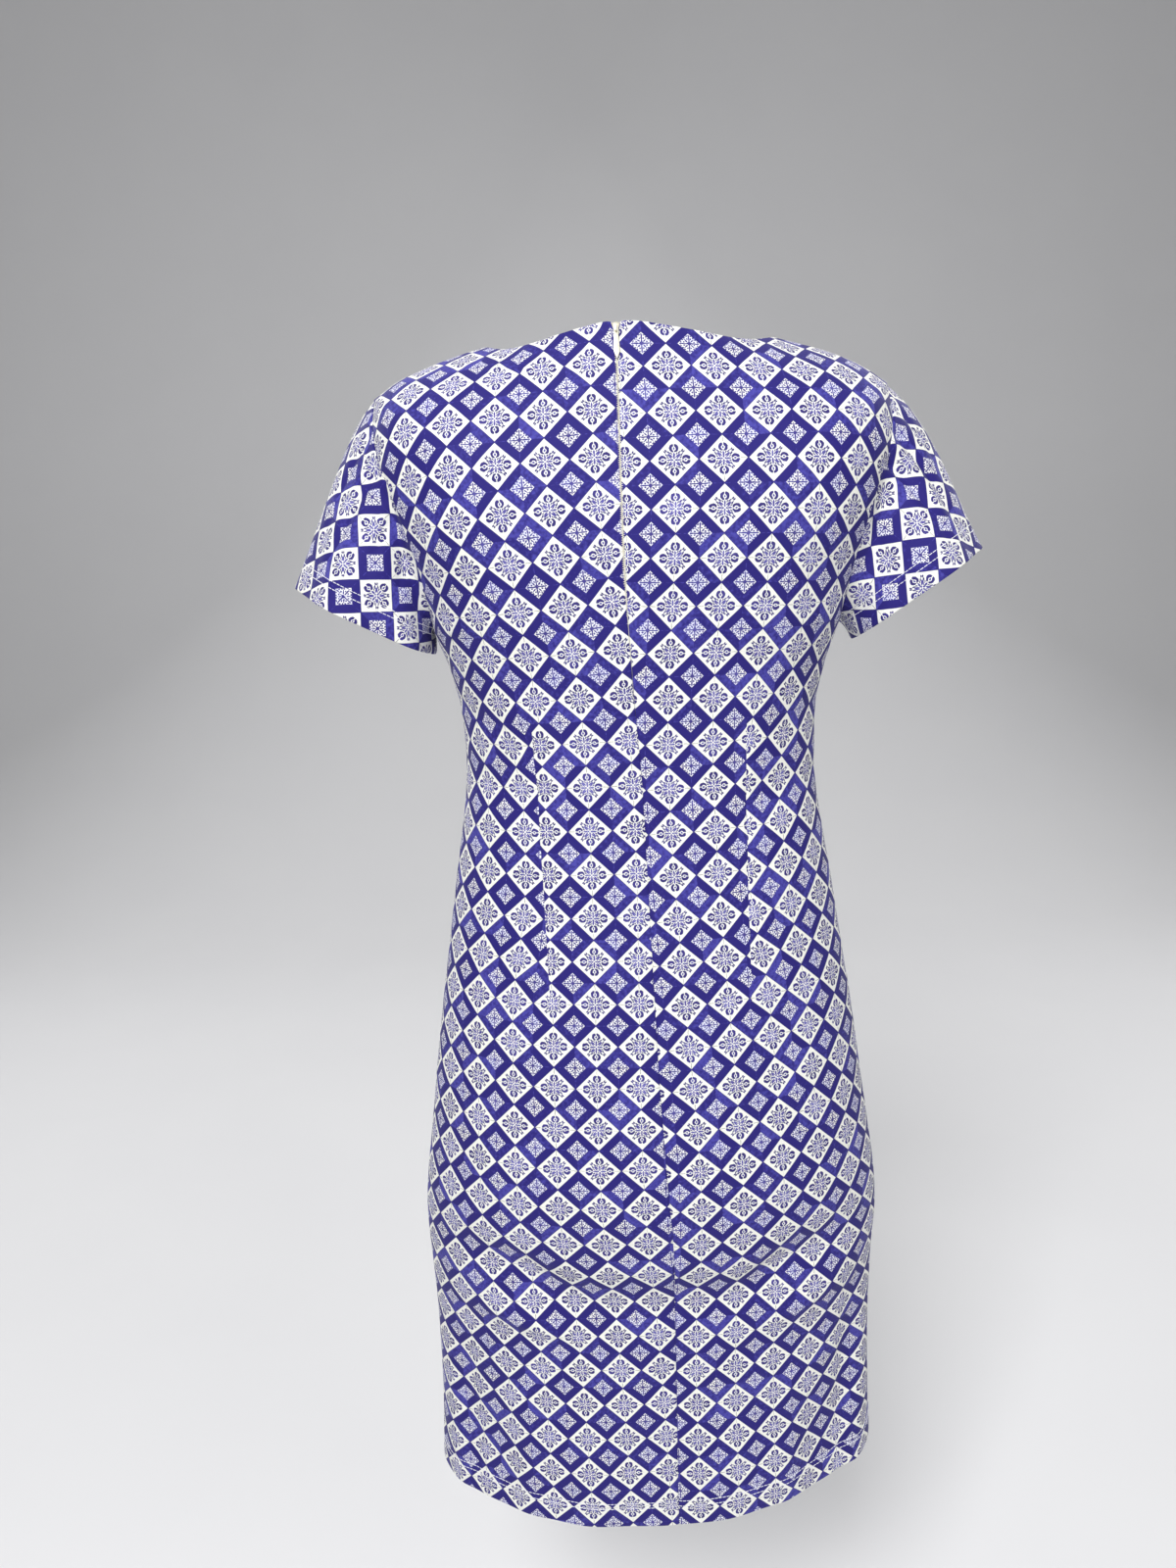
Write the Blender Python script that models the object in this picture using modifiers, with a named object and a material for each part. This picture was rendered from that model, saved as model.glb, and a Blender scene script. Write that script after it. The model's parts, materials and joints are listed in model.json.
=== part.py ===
"""Slim A-line dress with a boat neck, short flared sleeves and a back zip.

It is held open in the shape it has when it is worn. Metres, +Z up. The back of
the dress faces -Y, +X is the wearer's right. The origin lies between the
shoulders, level with the points where the neckline meets the shoulder seams.
"""
import math

import bmesh
import bpy
from mathutils import Matrix, Vector

# ---------------------------------------------------------------- cloth
WALL = 0.0012            # thickness of the cloth
HALF_GAP = 0.00015       # half of the gap left along a seam
TUCK = 0.0002            # extra setback where a sleeve meets the armhole

# ---------------------------------------------------------------- mesh density
HALF_COLUMNS = 13        # columns from the centre of a panel to its edge
EDGE_CROWD = 0.33        # how much closer the columns lie at the edges
SHOULDER_ROWS = 5        # rows that end on the shoulder seam
ARMHOLE_ROWS = 13        # rows that end on the armhole
SIDE_ROWS = 26           # rows that end on the side seam
SLEEVE_ROWS = 9          # rings from armhole to sleeve hem

TIP_ROW = SHOULDER_ROWS
UNDERARM_ROW = SHOULDER_ROWS + ARMHOLE_ROWS
HEM_ROW = UNDERARM_ROW + SIDE_ROWS

# ---------------------------------------------------------------- lengths
HEM_Z = -0.970
UNDERARM_Z = -0.210
BACK_NECK_Z = 0.004      # top of the centre back
FRONT_NECK_Z = -0.045    # top of the centre front
BACK_TIP_Z = -0.086      # where the row of the shoulder tip meets the centre back
FRONT_TIP_Z = -0.108
BACK_NECK_DIP = 0.009    # the neckline sags between the zip and the shoulder
DIP_ROWS = 4
HEM_TILT = 0.0065        # the hem hangs higher on the wearer's right
HEM_RISE = 0.0125        # and a little higher at both sides than in the middle
TILT_TOP_Z = -0.600      # the tilt fades out upwards

# Centre back, seen from the side: height, depth.
BACK_LINE = (
    (0.004, -0.0700),
    (-0.037, -0.0850),
    (-0.074, -0.0950),
    (-0.139, -0.1050),
    (-0.189, -0.1010),
    (-0.254, -0.0920),
    (-0.318, -0.0860),
    (-0.383, -0.0855),
    (-0.450, -0.0900),
    (-0.518, -0.0955),
    (-0.585, -0.1005),
    (-0.642, -0.1025),
    (-0.683, -0.0985),
    (-0.731, -0.0885),
    (-0.762, -0.0815),
    (-0.796, -0.0765),
    (-0.872, -0.0745),
    (-0.970, -0.0740),
)

# Centre front, seen from the side: height, depth.
FRONT_LINE = (
    (-0.045, 0.0640),
    (-0.100, 0.0840),
    (-0.160, 0.1020),
    (-0.215, 0.1120),
    (-0.250, 0.1130),
    (-0.290, 0.1060),
    (-0.330, 0.0950),
    (-0.370, 0.0885),
    (-0.410, 0.0885),
    (-0.460, 0.0940),
    (-0.520, 0.1000),
    (-0.600, 0.1030),
    (-0.700, 0.1020),
    (-0.970, 0.1050),
)

# Shoulder seam: share of the way from neckline to shoulder tip, x, y, z.
SHOULDER_LINE = (
    (0.00, 0.108, 0.004, 0.0000),
    (0.25, 0.130, 0.006, -0.0055),
    (0.50, 0.152, 0.008, -0.0125),
    (0.75, 0.174, 0.009, -0.0220),
    (1.00, 0.193, 0.010, -0.0345),
)

# Armhole: share of the way from shoulder tip to underarm, height,
# then x and y of the back edge, x and y of the front edge.
ARMHOLE_LINE = (
    (0.00, -0.0345, 0.1930, 0.010, 0.1930, 0.010),
    (0.14, -0.0535, 0.1915, -0.022, 0.1870, 0.034),
    (0.27, -0.0780, 0.1865, -0.043, 0.1765, 0.051),
    (0.40, -0.1030, 0.1775, -0.053, 0.1665, 0.061),
    (0.54, -0.1320, 0.1685, -0.055, 0.1575, 0.063),
    (0.68, -0.1610, 0.1610, -0.047, 0.1540, 0.055),
    (0.82, -0.1880, 0.1575, -0.032, 0.1545, 0.038),
    (0.92, -0.2040, 0.1570, -0.014, 0.1562, 0.018),
    (1.00, -0.2100, 0.1572, 0.002, 0.1572, 0.002),
)

# Side seam: height, x, y.
SIDE_LINE = (
    (-0.210, 0.1572, 0.002),
    (-0.241, 0.1460, 0.002),
    (-0.288, 0.1385, 0.001),
    (-0.336, 0.1400, 0.000),
    (-0.401, 0.1505, 0.000),
    (-0.469, 0.1615, 0.000),
    (-0.538, 0.1725, 0.000),
    (-0.610, 0.1825, 0.000),
    (-0.684, 0.1925, 0.001),
    (-0.715, 0.1940, 0.002),
    (-0.770, 0.1925, 0.006),
    (-0.830, 0.1915, 0.010),
    (-0.900, 0.1930, 0.014),
    (-0.970, 0.1970, 0.018),
)

# How a row bends from the centre to its edge: height at the centre,
# then turn in degrees and squareness of the back, turn and squareness of the front.
BEND_LINE = (
    (0.004, 90.0, 1.00, 90.0, 1.00),
    (-0.086, 90.0, 1.30, 90.0, 1.10),
    (-0.110, 74.0, 1.45, 72.0, 1.15),
    (-0.140, 64.0, 1.50, 62.0, 1.20),
    (-0.175, 68.0, 1.40, 66.0, 1.20),
    (-0.210, 90.0, 1.30, 90.0, 1.15),
    (-0.300, 90.0, 1.20, 90.0, 1.05),
    (-0.400, 90.0, 1.15, 90.0, 1.05),
    (-0.600, 90.0, 1.06, 90.0, 1.08),
    (-0.970, 90.0, 1.00, 90.0, 1.10),
)

# The dress hangs a little askew: height, sideways shift of the centre back seam.
BACK_SEAM_LINE = (
    (0.004, -0.0120),
    (-0.150, -0.0120),
    (-0.245, -0.0075),
    (-0.317, -0.0025),
    (-0.390, 0.0000),
    (-0.546, 0.0045),
    (-0.625, 0.0085),
    (-0.717, 0.0135),
    (-0.970, 0.0140),
)

# The fullness that the bust darts give to the front.
BUST_X = 0.082
BUST_Z = -0.240
BUST_FULLNESS = 0.013
BUST_REACH_X = 0.042
BUST_REACH_Z = 0.052

FOLD_EASE = 1.5          # how softly a fold begins and ends
FOLD_FREE_EDGE = 1.0 / 6.0   # share of a half row, next to a seam, where folds fade
NORMAL_STEP = 0.01       # step, in rows and shares, that gives the cloth's normal

# Large soft folds: panel, x and z of the start, x and z of the end, depth
# (above zero stands out), half-width. They fade out towards both ends.
FOLDS = (
    ("back", -0.165, -0.690, -0.030, -0.775, -0.0045, 0.022),
    ("back", 0.165, -0.685, 0.045, -0.770, -0.0045, 0.022),
    ("back", -0.178, -0.735, -0.060, -0.800, 0.0035, 0.020),
    ("back", 0.178, -0.730, 0.070, -0.800, 0.0035, 0.020),
    ("back", -0.150, -0.800, -0.142, -1.020, -0.0040, 0.024),
    ("back", 0.148, -0.790, 0.140, -1.020, -0.0045, 0.024),
    ("back", 0.060, -0.850, 0.055, -1.030, 0.0030, 0.030),
    ("back", -0.070, -0.840, -0.062, -1.030, 0.0030, 0.030),
    ("back", -0.150, -0.300, -0.060, -0.345, -0.0025, 0.020),
    ("back", 0.150, -0.305, 0.065, -0.350, -0.0025, 0.020),
    ("front", -0.150, -0.560, -0.045, -0.600, -0.0030, 0.024),
    ("front", 0.150, -0.570, 0.050, -0.605, -0.0030, 0.024),
    ("front", -0.120, -0.700, -0.110, -1.020, 0.0045, 0.030),
    ("front", 0.125, -0.690, 0.115, -1.020, 0.0045, 0.030),
    ("front", 0.010, -0.740, 0.006, -1.030, -0.0035, 0.032),
)

# ---------------------------------------------------------------- sleeves
# Side (-1 is the wearer's left), tilt of the sleeve from the vertical in
# degrees, lift of its hem at the back in degrees, how far its cap carries on
# before it turns down, then x, y and z of the middle of its hem.
SLEEVES = (
    ("sleeve_left", -1, 28.0, 3.0, 0.55, 0.2105, 0.002, -0.1985),
    ("sleeve_right", 1, 34.0, 9.0, 1.00, 0.2190, 0.002, -0.1925),
)
HEM_ACROSS = 0.0595      # half of the sleeve hem, from body side to outer side
HEM_DEPTH = 0.0660       # half of the sleeve hem, from back to front
HANG_REACH = 0.75        # how soon a sleeve runs straight towards its hem
SHOULDER_WAY = (0.85, 0.0, -0.53)   # how the cap leaves the shoulder tip
UNDERARM_WAY = (0.90, 0.0, -0.44)   # how the sleeve leaves the underarm
UNDERARM_HOLD = 1.5      # how far up the armhole the underarm's way is kept
NEAR_EDGE = 0.9          # place on a row that shows which way its cloth runs

# Soft folds of a sleeve: place round the hem in degrees (0 is the outer side,
# 90 the back), depth at the hem, half-width in degrees.
SLEEVE_FOLDS = (
    (38.0, -0.0045, 16.0),
    (70.0, 0.0030, 17.0),
    (104.0, -0.0040, 17.0),
    (136.0, 0.0025, 17.0),
    (222.0, 0.0020, 18.0),
    (258.0, -0.0040, 18.0),
    (296.0, 0.0030, 18.0),
    (330.0, -0.0035, 16.0),
)

# ---------------------------------------------------------------- zip
ZIP_LENGTH = 0.520       # length of the closed chain, down the centre back
CHAIN_WIDTH = 0.0050
CHAIN_THICK = 0.0010
CHAIN_GAP = 0.0004       # between the chain and the inside of the cloth

SLIDER_TOP_Z = 0.0020    # top of the slider, just under the neckline
SLIDER_LENGTH = 0.0085
SLIDER_WIDTH = 0.0039
SLIDER_THICK = 0.0016
SLIDER_ROUND = 0.0005
BRIDGE_WIDTH = 0.0012    # the bridge that carries the pull tab
BRIDGE_BAR = 0.0008
BRIDGE_GAP = 0.0016      # clear height under the bridge
BRIDGE_LENGTH = 0.0056
PULL_LENGTH = 0.0205     # from the hinge axis to the tip
PULL_WIDTH = 0.0042
PULL_NECK = 0.0031       # width at the eye
PULL_THICK = 0.0009
EYE_WIDTH = 0.0019
EYE_LENGTH = 0.0030
EYE_BAR = 0.0009         # the bar of the pull that passes under the bridge
REST_CLEARANCE = 0.0003
TAB_ARC = 10             # segments of the tab's round end
MERGE = 0.000002

CREAM = (0.83, 0.80, 0.70)
CLOTH_BLUE = (0.42, 0.41, 0.70)


# ---------------------------------------------------------------- helpers
def smooth(table, place, column):
    """A smooth curve through one column of a table, read at a place in its first."""
    rising = table[-1][0] > table[0][0]
    rows = table if rising else tuple(reversed(table))
    place = min(max(place, rows[0][0]), rows[-1][0])
    index = 0
    while index < len(rows) - 2 and place > rows[index + 1][0]:
        index += 1

    def slope(at):
        low = max(at - 1, 0)
        high = min(at + 1, len(rows) - 1)
        return (rows[high][column] - rows[low][column]) / (rows[high][0] - rows[low][0])

    start, end = rows[index], rows[index + 1]
    span = end[0] - start[0]
    share = (place - start[0]) / span
    rise = end[column] - start[column]
    turn_in = slope(index) * span
    turn_out = slope(index + 1) * span
    ease = share * share * (3.0 - 2.0 * share)
    return (start[column] + rise * ease
            + turn_in * share * (1.0 - share) ** 2
            - turn_out * share * share * (1.0 - share))


def mix(start, end, share):
    return start + (end - start) * share


def crowded(share):
    """Spread of the columns: shares from -1 to 1, closer together at the ends."""
    return share * (1.0 + EDGE_CROWD) - EDGE_CROWD * share ** 3


def row_centre_z(panel, row):
    """Height at which a row crosses the centre of its panel."""
    top = BACK_NECK_Z if panel == "back" else FRONT_NECK_Z
    tip = BACK_TIP_Z if panel == "back" else FRONT_TIP_Z
    if row <= TIP_ROW:
        return mix(top, tip, row / TIP_ROW)
    if row <= UNDERARM_ROW:
        return mix(tip, UNDERARM_Z, (row - TIP_ROW) / ARMHOLE_ROWS)
    return mix(UNDERARM_Z, HEM_Z, (row - UNDERARM_ROW) / SIDE_ROWS)


def row_edge(panel, row):
    """Outer end of a row on the wearer's right: shoulder, armhole or side seam."""
    if row <= TIP_ROW:
        share = row / TIP_ROW
        return tuple(smooth(SHOULDER_LINE, share, column) for column in (1, 2, 3))
    if row <= UNDERARM_ROW:
        share = (row - TIP_ROW) / ARMHOLE_ROWS
        first = 2 if panel == "back" else 4
        return (smooth(ARMHOLE_LINE, share, first),
                smooth(ARMHOLE_LINE, share, first + 1),
                smooth(ARMHOLE_LINE, share, 1))
    height = row_centre_z(panel, row)
    return smooth(SIDE_LINE, height, 1), smooth(SIDE_LINE, height, 2), height


def row_bend(panel, row):
    """Turn of a row at its edge, in radians, and its squareness."""
    height = row_centre_z(panel, row)
    if panel == "front" and row <= UNDERARM_ROW:
        height = row_centre_z("back", row)
    first = 1 if panel == "back" else 3
    turn = min(smooth(BEND_LINE, height, first), 90.0)
    return math.radians(turn), smooth(BEND_LINE, height, first + 1)


def seam_share(row):
    """Where the centre back seam crosses a row of the back."""
    edge_x = row_edge("back", row)[0]
    turn = row_bend("back", row)[0]
    shift = smooth(BACK_SEAM_LINE, row_centre_z("back", row), 1)
    return math.asin(shift * math.sin(turn) / edge_x) / turn


def bare_point(panel, row, share):
    """Point of a panel before its folds. share runs from -1 to 1, edge to edge."""
    middle = row_centre_z(panel, row)
    line = BACK_LINE if panel == "back" else FRONT_LINE
    centre_y = smooth(line, middle, 1)
    edge_x, edge_y, edge_z = row_edge(panel, row)
    turn, square = row_bend(panel, row)
    angle = share * turn
    forward = ((1.0 - math.cos(angle)) / (1.0 - math.cos(turn))) ** square
    rise = math.sin(share * math.pi / 2.0) ** 2
    dip = 0.0
    if panel == "back" and row < DIP_ROWS:
        seam = seam_share(row)
        out = (share - seam) / (math.copysign(1.0, share - seam) - seam)
        dip = BACK_NECK_DIP * (1.0 - row / DIP_ROWS) * math.sin(out * math.pi) ** 2
    across = math.sin(angle) / math.sin(turn)
    hang = max(0.0, (TILT_TOP_Z - middle) / (TILT_TOP_Z - HEM_Z))
    tilt = (HEM_TILT * across + HEM_RISE * across * across) * hang
    return Vector((edge_x * across,
                   mix(centre_y, edge_y, forward),
                   mix(middle, edge_z, rise) - dip + tilt))


def fold_height(panel, x, z):
    """How far the folds and the bust move the cloth out at x and z."""
    height = 0.0
    if panel == "front":
        for side in (-1, 1):
            across = (x - side * BUST_X) / BUST_REACH_X
            along = (z - BUST_Z) / BUST_REACH_Z
            height += BUST_FULLNESS * math.exp(-across * across - along * along)
    for name, start_x, start_z, end_x, end_z, depth, width in FOLDS:
        if name != panel:
            continue
        run_x, run_z = end_x - start_x, end_z - start_z
        length = math.hypot(run_x, run_z)
        along = ((x - start_x) * run_x + (z - start_z) * run_z) / length ** 2
        across = ((x - start_x) * run_z - (z - start_z) * run_x) / length
        if 0.0 < along < 1.0:
            fade = math.sin(math.pi * along) ** FOLD_EASE
            height += depth * fade * math.exp(-(across / width) ** 2)
    return height


def panel_point(panel, row, share):
    """Point on the outer face of a panel, with its folds."""
    point = bare_point(panel, row, share)
    fade = min(1.0, (1.0 - abs(share)) / FOLD_FREE_EDGE)
    height = fold_height(panel, point.x, point.z) * fade
    if height == 0.0:
        return point
    step = NORMAL_STEP
    across = bare_point(panel, row, share + step) - bare_point(panel, row, share - step)
    below = bare_point(panel, min(row + step, HEM_ROW), share)
    above = bare_point(panel, max(row - step, 0.0), share)
    normal = across.cross(above - below)
    if panel == "front":
        normal.negate()
    return point + normal.normalized() * height


def trimmed(points, start_gap, end_gap):
    """A row of points pulled in at its ends, along the row."""
    first = points[1] - points[0]
    last = points[-2] - points[-1]
    points[0] = points[0] + first.normalized() * start_gap
    points[-1] = points[-1] + last.normalized() * end_gap
    return points


def material(name, colour, roughness, metallic=0.0):
    made = bpy.data.materials.new(name)
    made.use_nodes = True
    shader = made.node_tree.nodes["Principled BSDF"]
    shader.inputs["Base Color"].default_value = (*colour, 1.0)
    shader.inputs["Roughness"].default_value = roughness
    shader.inputs["Metallic"].default_value = metallic
    return made


def place(name, mesh, finish, parts):
    made = bpy.data.objects.new(name, mesh)
    mesh.materials.append(finish)
    parts.objects.link(made)
    return made


def sheet_mesh(name, rows, outward, closed=False):
    """An open surface lofted through rows of points, facing the given way."""
    shape = bmesh.new()
    grid = [[shape.verts.new(point) for point in row] for row in rows]
    wrap = len(rows[0]) if closed else len(rows[0]) - 1
    for upper, lower in zip(grid, grid[1:]):
        for column in range(wrap):
            after = (column + 1) % len(upper)
            corners = [upper[column], lower[column], lower[after], upper[after]]
            shape.faces.new(corners if outward else corners[::-1])
    mesh = bpy.data.meshes.new(name)
    shape.to_mesh(mesh)
    shape.free()
    mesh.shade_smooth()
    return mesh


def cloth(name, rows, outward, finish, parts, closed=False):
    """A piece of cloth: the open outer surface, thickened inwards."""
    made = place(name, sheet_mesh(name, rows, outward, closed), finish, parts)
    wall = made.modifiers.new("wall", "SOLIDIFY")
    wall.thickness = WALL
    wall.offset = -1.0
    wall.use_quality_normals = True
    return made


# ---------------------------------------------------------------- panels
def front_rows():
    rows = []
    for row in range(HEM_ROW + 1):
        shares = [crowded(column / HALF_COLUMNS)
                  for column in range(-HALF_COLUMNS, HALF_COLUMNS + 1)]
        points = [panel_point("front", row, share) for share in shares]
        rows.append(trimmed(points, HALF_GAP, HALF_GAP))
    return rows


def back_rows(side):
    """Rows of one back half, from its outer edge to the centre back seam."""
    rows = []
    for row in range(HEM_ROW + 1):
        seam = seam_share(row)
        shares = [mix(seam, side, crowded(column / HALF_COLUMNS))
                  for column in range(HALF_COLUMNS, -1, -1)]
        points = [panel_point("back", row, share) for share in shares]
        rows.append(trimmed(points, HALF_GAP, HALF_GAP))
    return rows


def make_panels(parts):
    finish = {name: material(name, CLOTH_BLUE, 0.75)
              for name in ("front", "back_left", "back_right")}
    cloth("front", front_rows(), False, finish["front"], parts)
    cloth("back_left", back_rows(-1), True, finish["back_left"], parts)
    cloth("back_right", back_rows(1), False, finish["back_right"], parts)


# ---------------------------------------------------------------- sleeves
def armhole_loop(side):
    """Armhole points and the way the panels' cloth runs out across them.

    The loop starts at the shoulder tip and goes down the back and up the front.
    """
    points, ways = [], []
    trail = [("back", row) for row in range(TIP_ROW, UNDERARM_ROW + 1)]
    trail += [("front", row) for row in range(UNDERARM_ROW - 1, TIP_ROW, -1)]
    for panel, row in trail:
        points.append(panel_point(panel, row, side))
    for index, (panel, row) in enumerate(trail):
        along = points[(index + 1) % len(points)] - points[index - 1]
        near = panel_point(panel, row, side * NEAR_EDGE)
        inward = near - points[index]
        inward -= along * (inward.dot(along) / along.length_squared)
        ways.append(-inward.normalized())
    return points, ways


def sleeve_rows(side, tilt, lift, cap, hem_x, hem_y, hem_z):
    lean = math.radians(tilt)
    raised = math.radians(lift)
    outward = Vector((side * math.cos(lean), 0.0, math.sin(lean)))
    down = Vector((side * math.sin(lean), 0.0, -math.cos(lean)))
    backward = Vector((0.0, -math.cos(raised), 0.0)) - down * math.sin(raised)
    centre = Vector((side * hem_x, hem_y, hem_z))
    tops, ways = armhole_loop(side)
    count = len(tops)
    shoulder_way = Vector((side * SHOULDER_WAY[0], *SHOULDER_WAY[1:]))
    underarm_way = Vector((side * UNDERARM_WAY[0], *UNDERARM_WAY[1:]))
    rings = [[] for _ in range(SLEEVE_ROWS + 1)]
    for index, top in enumerate(tops):
        turn = 2.0 * math.pi * index / count
        ring_way = outward * math.cos(turn) + backward * math.sin(turn)
        end = (centre + outward * (HEM_ACROSS * math.cos(turn))
               + backward * (HEM_DEPTH * math.sin(turn)))
        reach = (end - top).length
        hang = 0.5 - 0.5 * math.cos(min(turn, 2.0 * math.pi - turn))
        leave = ways[index].lerp(shoulder_way, max(0.0, math.cos(turn)) ** 3)
        leave = leave.lerp(underarm_way, min(1.0, UNDERARM_HOLD * hang)).normalized()
        start_pull = leave * reach * cap
        end_pull = down * reach * HANG_REACH
        for ring in range(SLEEVE_ROWS + 1):
            share = ring / SLEEVE_ROWS
            ease = share * share * (3.0 - 2.0 * share)
            point = (top.lerp(end, ease)
                     + start_pull * (share * (1.0 - share) ** 2)
                     - end_pull * (share * share * (1.0 - share)))
            point += ring_way * (sleeve_fold(math.degrees(turn)) * share ** FOLD_EASE)
            rings[ring].append(point)
    setback = HALF_GAP + TUCK
    for index in range(count):
        run = rings[1][index] - rings[0][index]
        rings[0][index] = rings[0][index] + run.normalized() * setback
    return rings


def sleeve_fold(degrees):
    height = 0.0
    for place_deg, depth, width in SLEEVE_FOLDS:
        away = (degrees - place_deg + 180.0) % 360.0 - 180.0
        height += depth * math.exp(-(away / width) ** 2)
    return height


def make_sleeves(parts):
    for name, side, *hang in SLEEVES:
        rows = sleeve_rows(side, *hang)
        cloth(name, rows, side < 0, material(name, CLOTH_BLUE, 0.75), parts, closed=True)


# ---------------------------------------------------------------- zip
def seam_point(height):
    """Point on the centre back seam, on the outer face of the cloth."""
    low, high = 0.0, float(HEM_ROW)
    while high - low > 1e-6:
        middle = (low + high) / 2.0
        if row_centre_z("back", middle) > height:
            low = middle
        else:
            high = middle
    return panel_point("back", low, seam_share(low))


def outward_from(down):
    """Way out of the back, square to a way down along the centre back."""
    return Vector((0.0, down.z, -down.y)).normalized()


def make_chain(parts):
    """The closed chain, behind the slit between the two back halves."""
    seam = []
    for row in range(HEM_ROW + 1):
        if row_centre_z("back", row) > BACK_NECK_Z - ZIP_LENGTH:
            seam.append(panel_point("back", row, seam_share(row)))
    side = Vector((CHAIN_WIDTH / 2.0, 0.0, 0.0))
    rows = []
    for index, point in enumerate(seam):
        down = seam[min(index + 1, len(seam) - 1)] - seam[max(index - 1, 0)]
        face = point - outward_from(down) * (WALL + CHAIN_GAP)
        rows.append([face - side, face + side])
    finish = material("zip_chain", CREAM, 0.45)
    made = place("zip_chain", sheet_mesh("zip_chain", rows, True), finish, parts)
    wall = made.modifiers.new("wall", "SOLIDIFY")
    wall.thickness = CHAIN_THICK
    wall.offset = -1.0


def flat_mesh(name, outlines, thick):
    """A flat piece cut from outlines in its own XY plane, with holes where they nest."""
    curve = bpy.data.curves.new(name, "CURVE")
    curve.dimensions = "2D"
    curve.fill_mode = "BOTH"
    curve.extrude = thick / 2.0
    for outline in outlines:
        spline = curve.splines.new("POLY")
        spline.points.add(len(outline) - 1)
        for point, (x, y) in zip(spline.points, outline):
            point.co = (x, y, 0.0, 1.0)
        spline.use_cyclic_u = True
    guide = bpy.data.objects.new(name, curve)
    bpy.context.scene.collection.objects.link(guide)
    bpy.context.view_layer.update()
    graph = bpy.context.evaluated_depsgraph_get()
    mesh = bpy.data.meshes.new_from_object(guide.evaluated_get(graph))
    bpy.data.objects.remove(guide)
    shape = bmesh.new()
    shape.from_mesh(mesh)
    bmesh.ops.remove_doubles(shape, verts=shape.verts, dist=MERGE)
    bmesh.ops.recalc_face_normals(shape, faces=shape.faces)
    shape.to_mesh(mesh)
    shape.free()
    return mesh


def rectangle(low_x, high_x, low_y, high_y):
    return [(low_x, low_y), (high_x, low_y), (high_x, high_y), (low_x, high_y)]


def slider_place():
    """Top of the slider on the cloth, the way down the seam and the way out."""
    top = seam_point(SLIDER_TOP_Z)
    down = (seam_point(SLIDER_TOP_Z - SLIDER_LENGTH) - top).normalized()
    out = outward_from(down)
    return top + out * REST_CLEARANCE, down, out


def lean_of(down):
    """Turn about X that lays local +Y up along the seam, with local +Z out."""
    return math.atan2(-down.z, -down.y)


def make_slider(parts, cutters):
    """The slider with its bridge. Its back rides on the chain inside the seam."""
    top, down, _ = slider_place()
    finish = material("zip_slider", CREAM, 0.30)
    shape = bmesh.new()
    bmesh.ops.create_cube(shape, size=1.0)
    bmesh.ops.scale(shape, verts=shape.verts, vec=(SLIDER_WIDTH, SLIDER_LENGTH, SLIDER_THICK))
    bmesh.ops.translate(shape, verts=shape.verts,
                        vec=(0.0, -SLIDER_LENGTH / 2.0, SLIDER_THICK / 2.0))
    bmesh.ops.bevel(shape, geom=shape.edges[:], offset=SLIDER_ROUND, segments=2,
                    profile=0.5, affect="EDGES")
    mesh = bpy.data.meshes.new("zip_slider")
    shape.to_mesh(mesh)
    shape.free()
    body = place("zip_slider", mesh, finish, parts)
    body.location = top
    body.rotation_euler = (lean_of(down), 0.0, 0.0)

    head = -(SLIDER_LENGTH - BRIDGE_LENGTH) / 2.0
    foot = head - BRIDGE_LENGTH
    crown = SLIDER_THICK + BRIDGE_GAP + BRIDGE_BAR
    outer = rectangle(foot, head, SLIDER_THICK / 2.0, crown)
    inner = rectangle(foot + BRIDGE_BAR, head - BRIDGE_BAR, SLIDER_THICK, crown - BRIDGE_BAR)
    arch = bpy.data.objects.new("bridge", flat_mesh("bridge", (outer, inner), BRIDGE_WIDTH))
    stand_up = Matrix(((0.0, 0.0, 1.0), (1.0, 0.0, 0.0), (0.0, 1.0, 0.0))).to_4x4()
    turn = Matrix.Rotation(lean_of(down), 4, "X")
    arch.matrix_world = Matrix.Translation(top) @ turn @ stand_up
    arch.hide_render = True
    arch.display_type = "WIRE"
    cutters.objects.link(arch)
    join = body.modifiers.new("bridge", "BOOLEAN")
    join.operation = "UNION"
    join.object = arch


def hinge_point():
    """Axis of the pull tab: in the lower end of the clear space under the bridge."""
    top, down, out = slider_place()
    foot = (SLIDER_LENGTH + BRIDGE_LENGTH) / 2.0 - BRIDGE_BAR
    return top + down * (foot - BRIDGE_GAP / 2.0) + out * (SLIDER_THICK + BRIDGE_GAP / 2.0)


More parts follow.
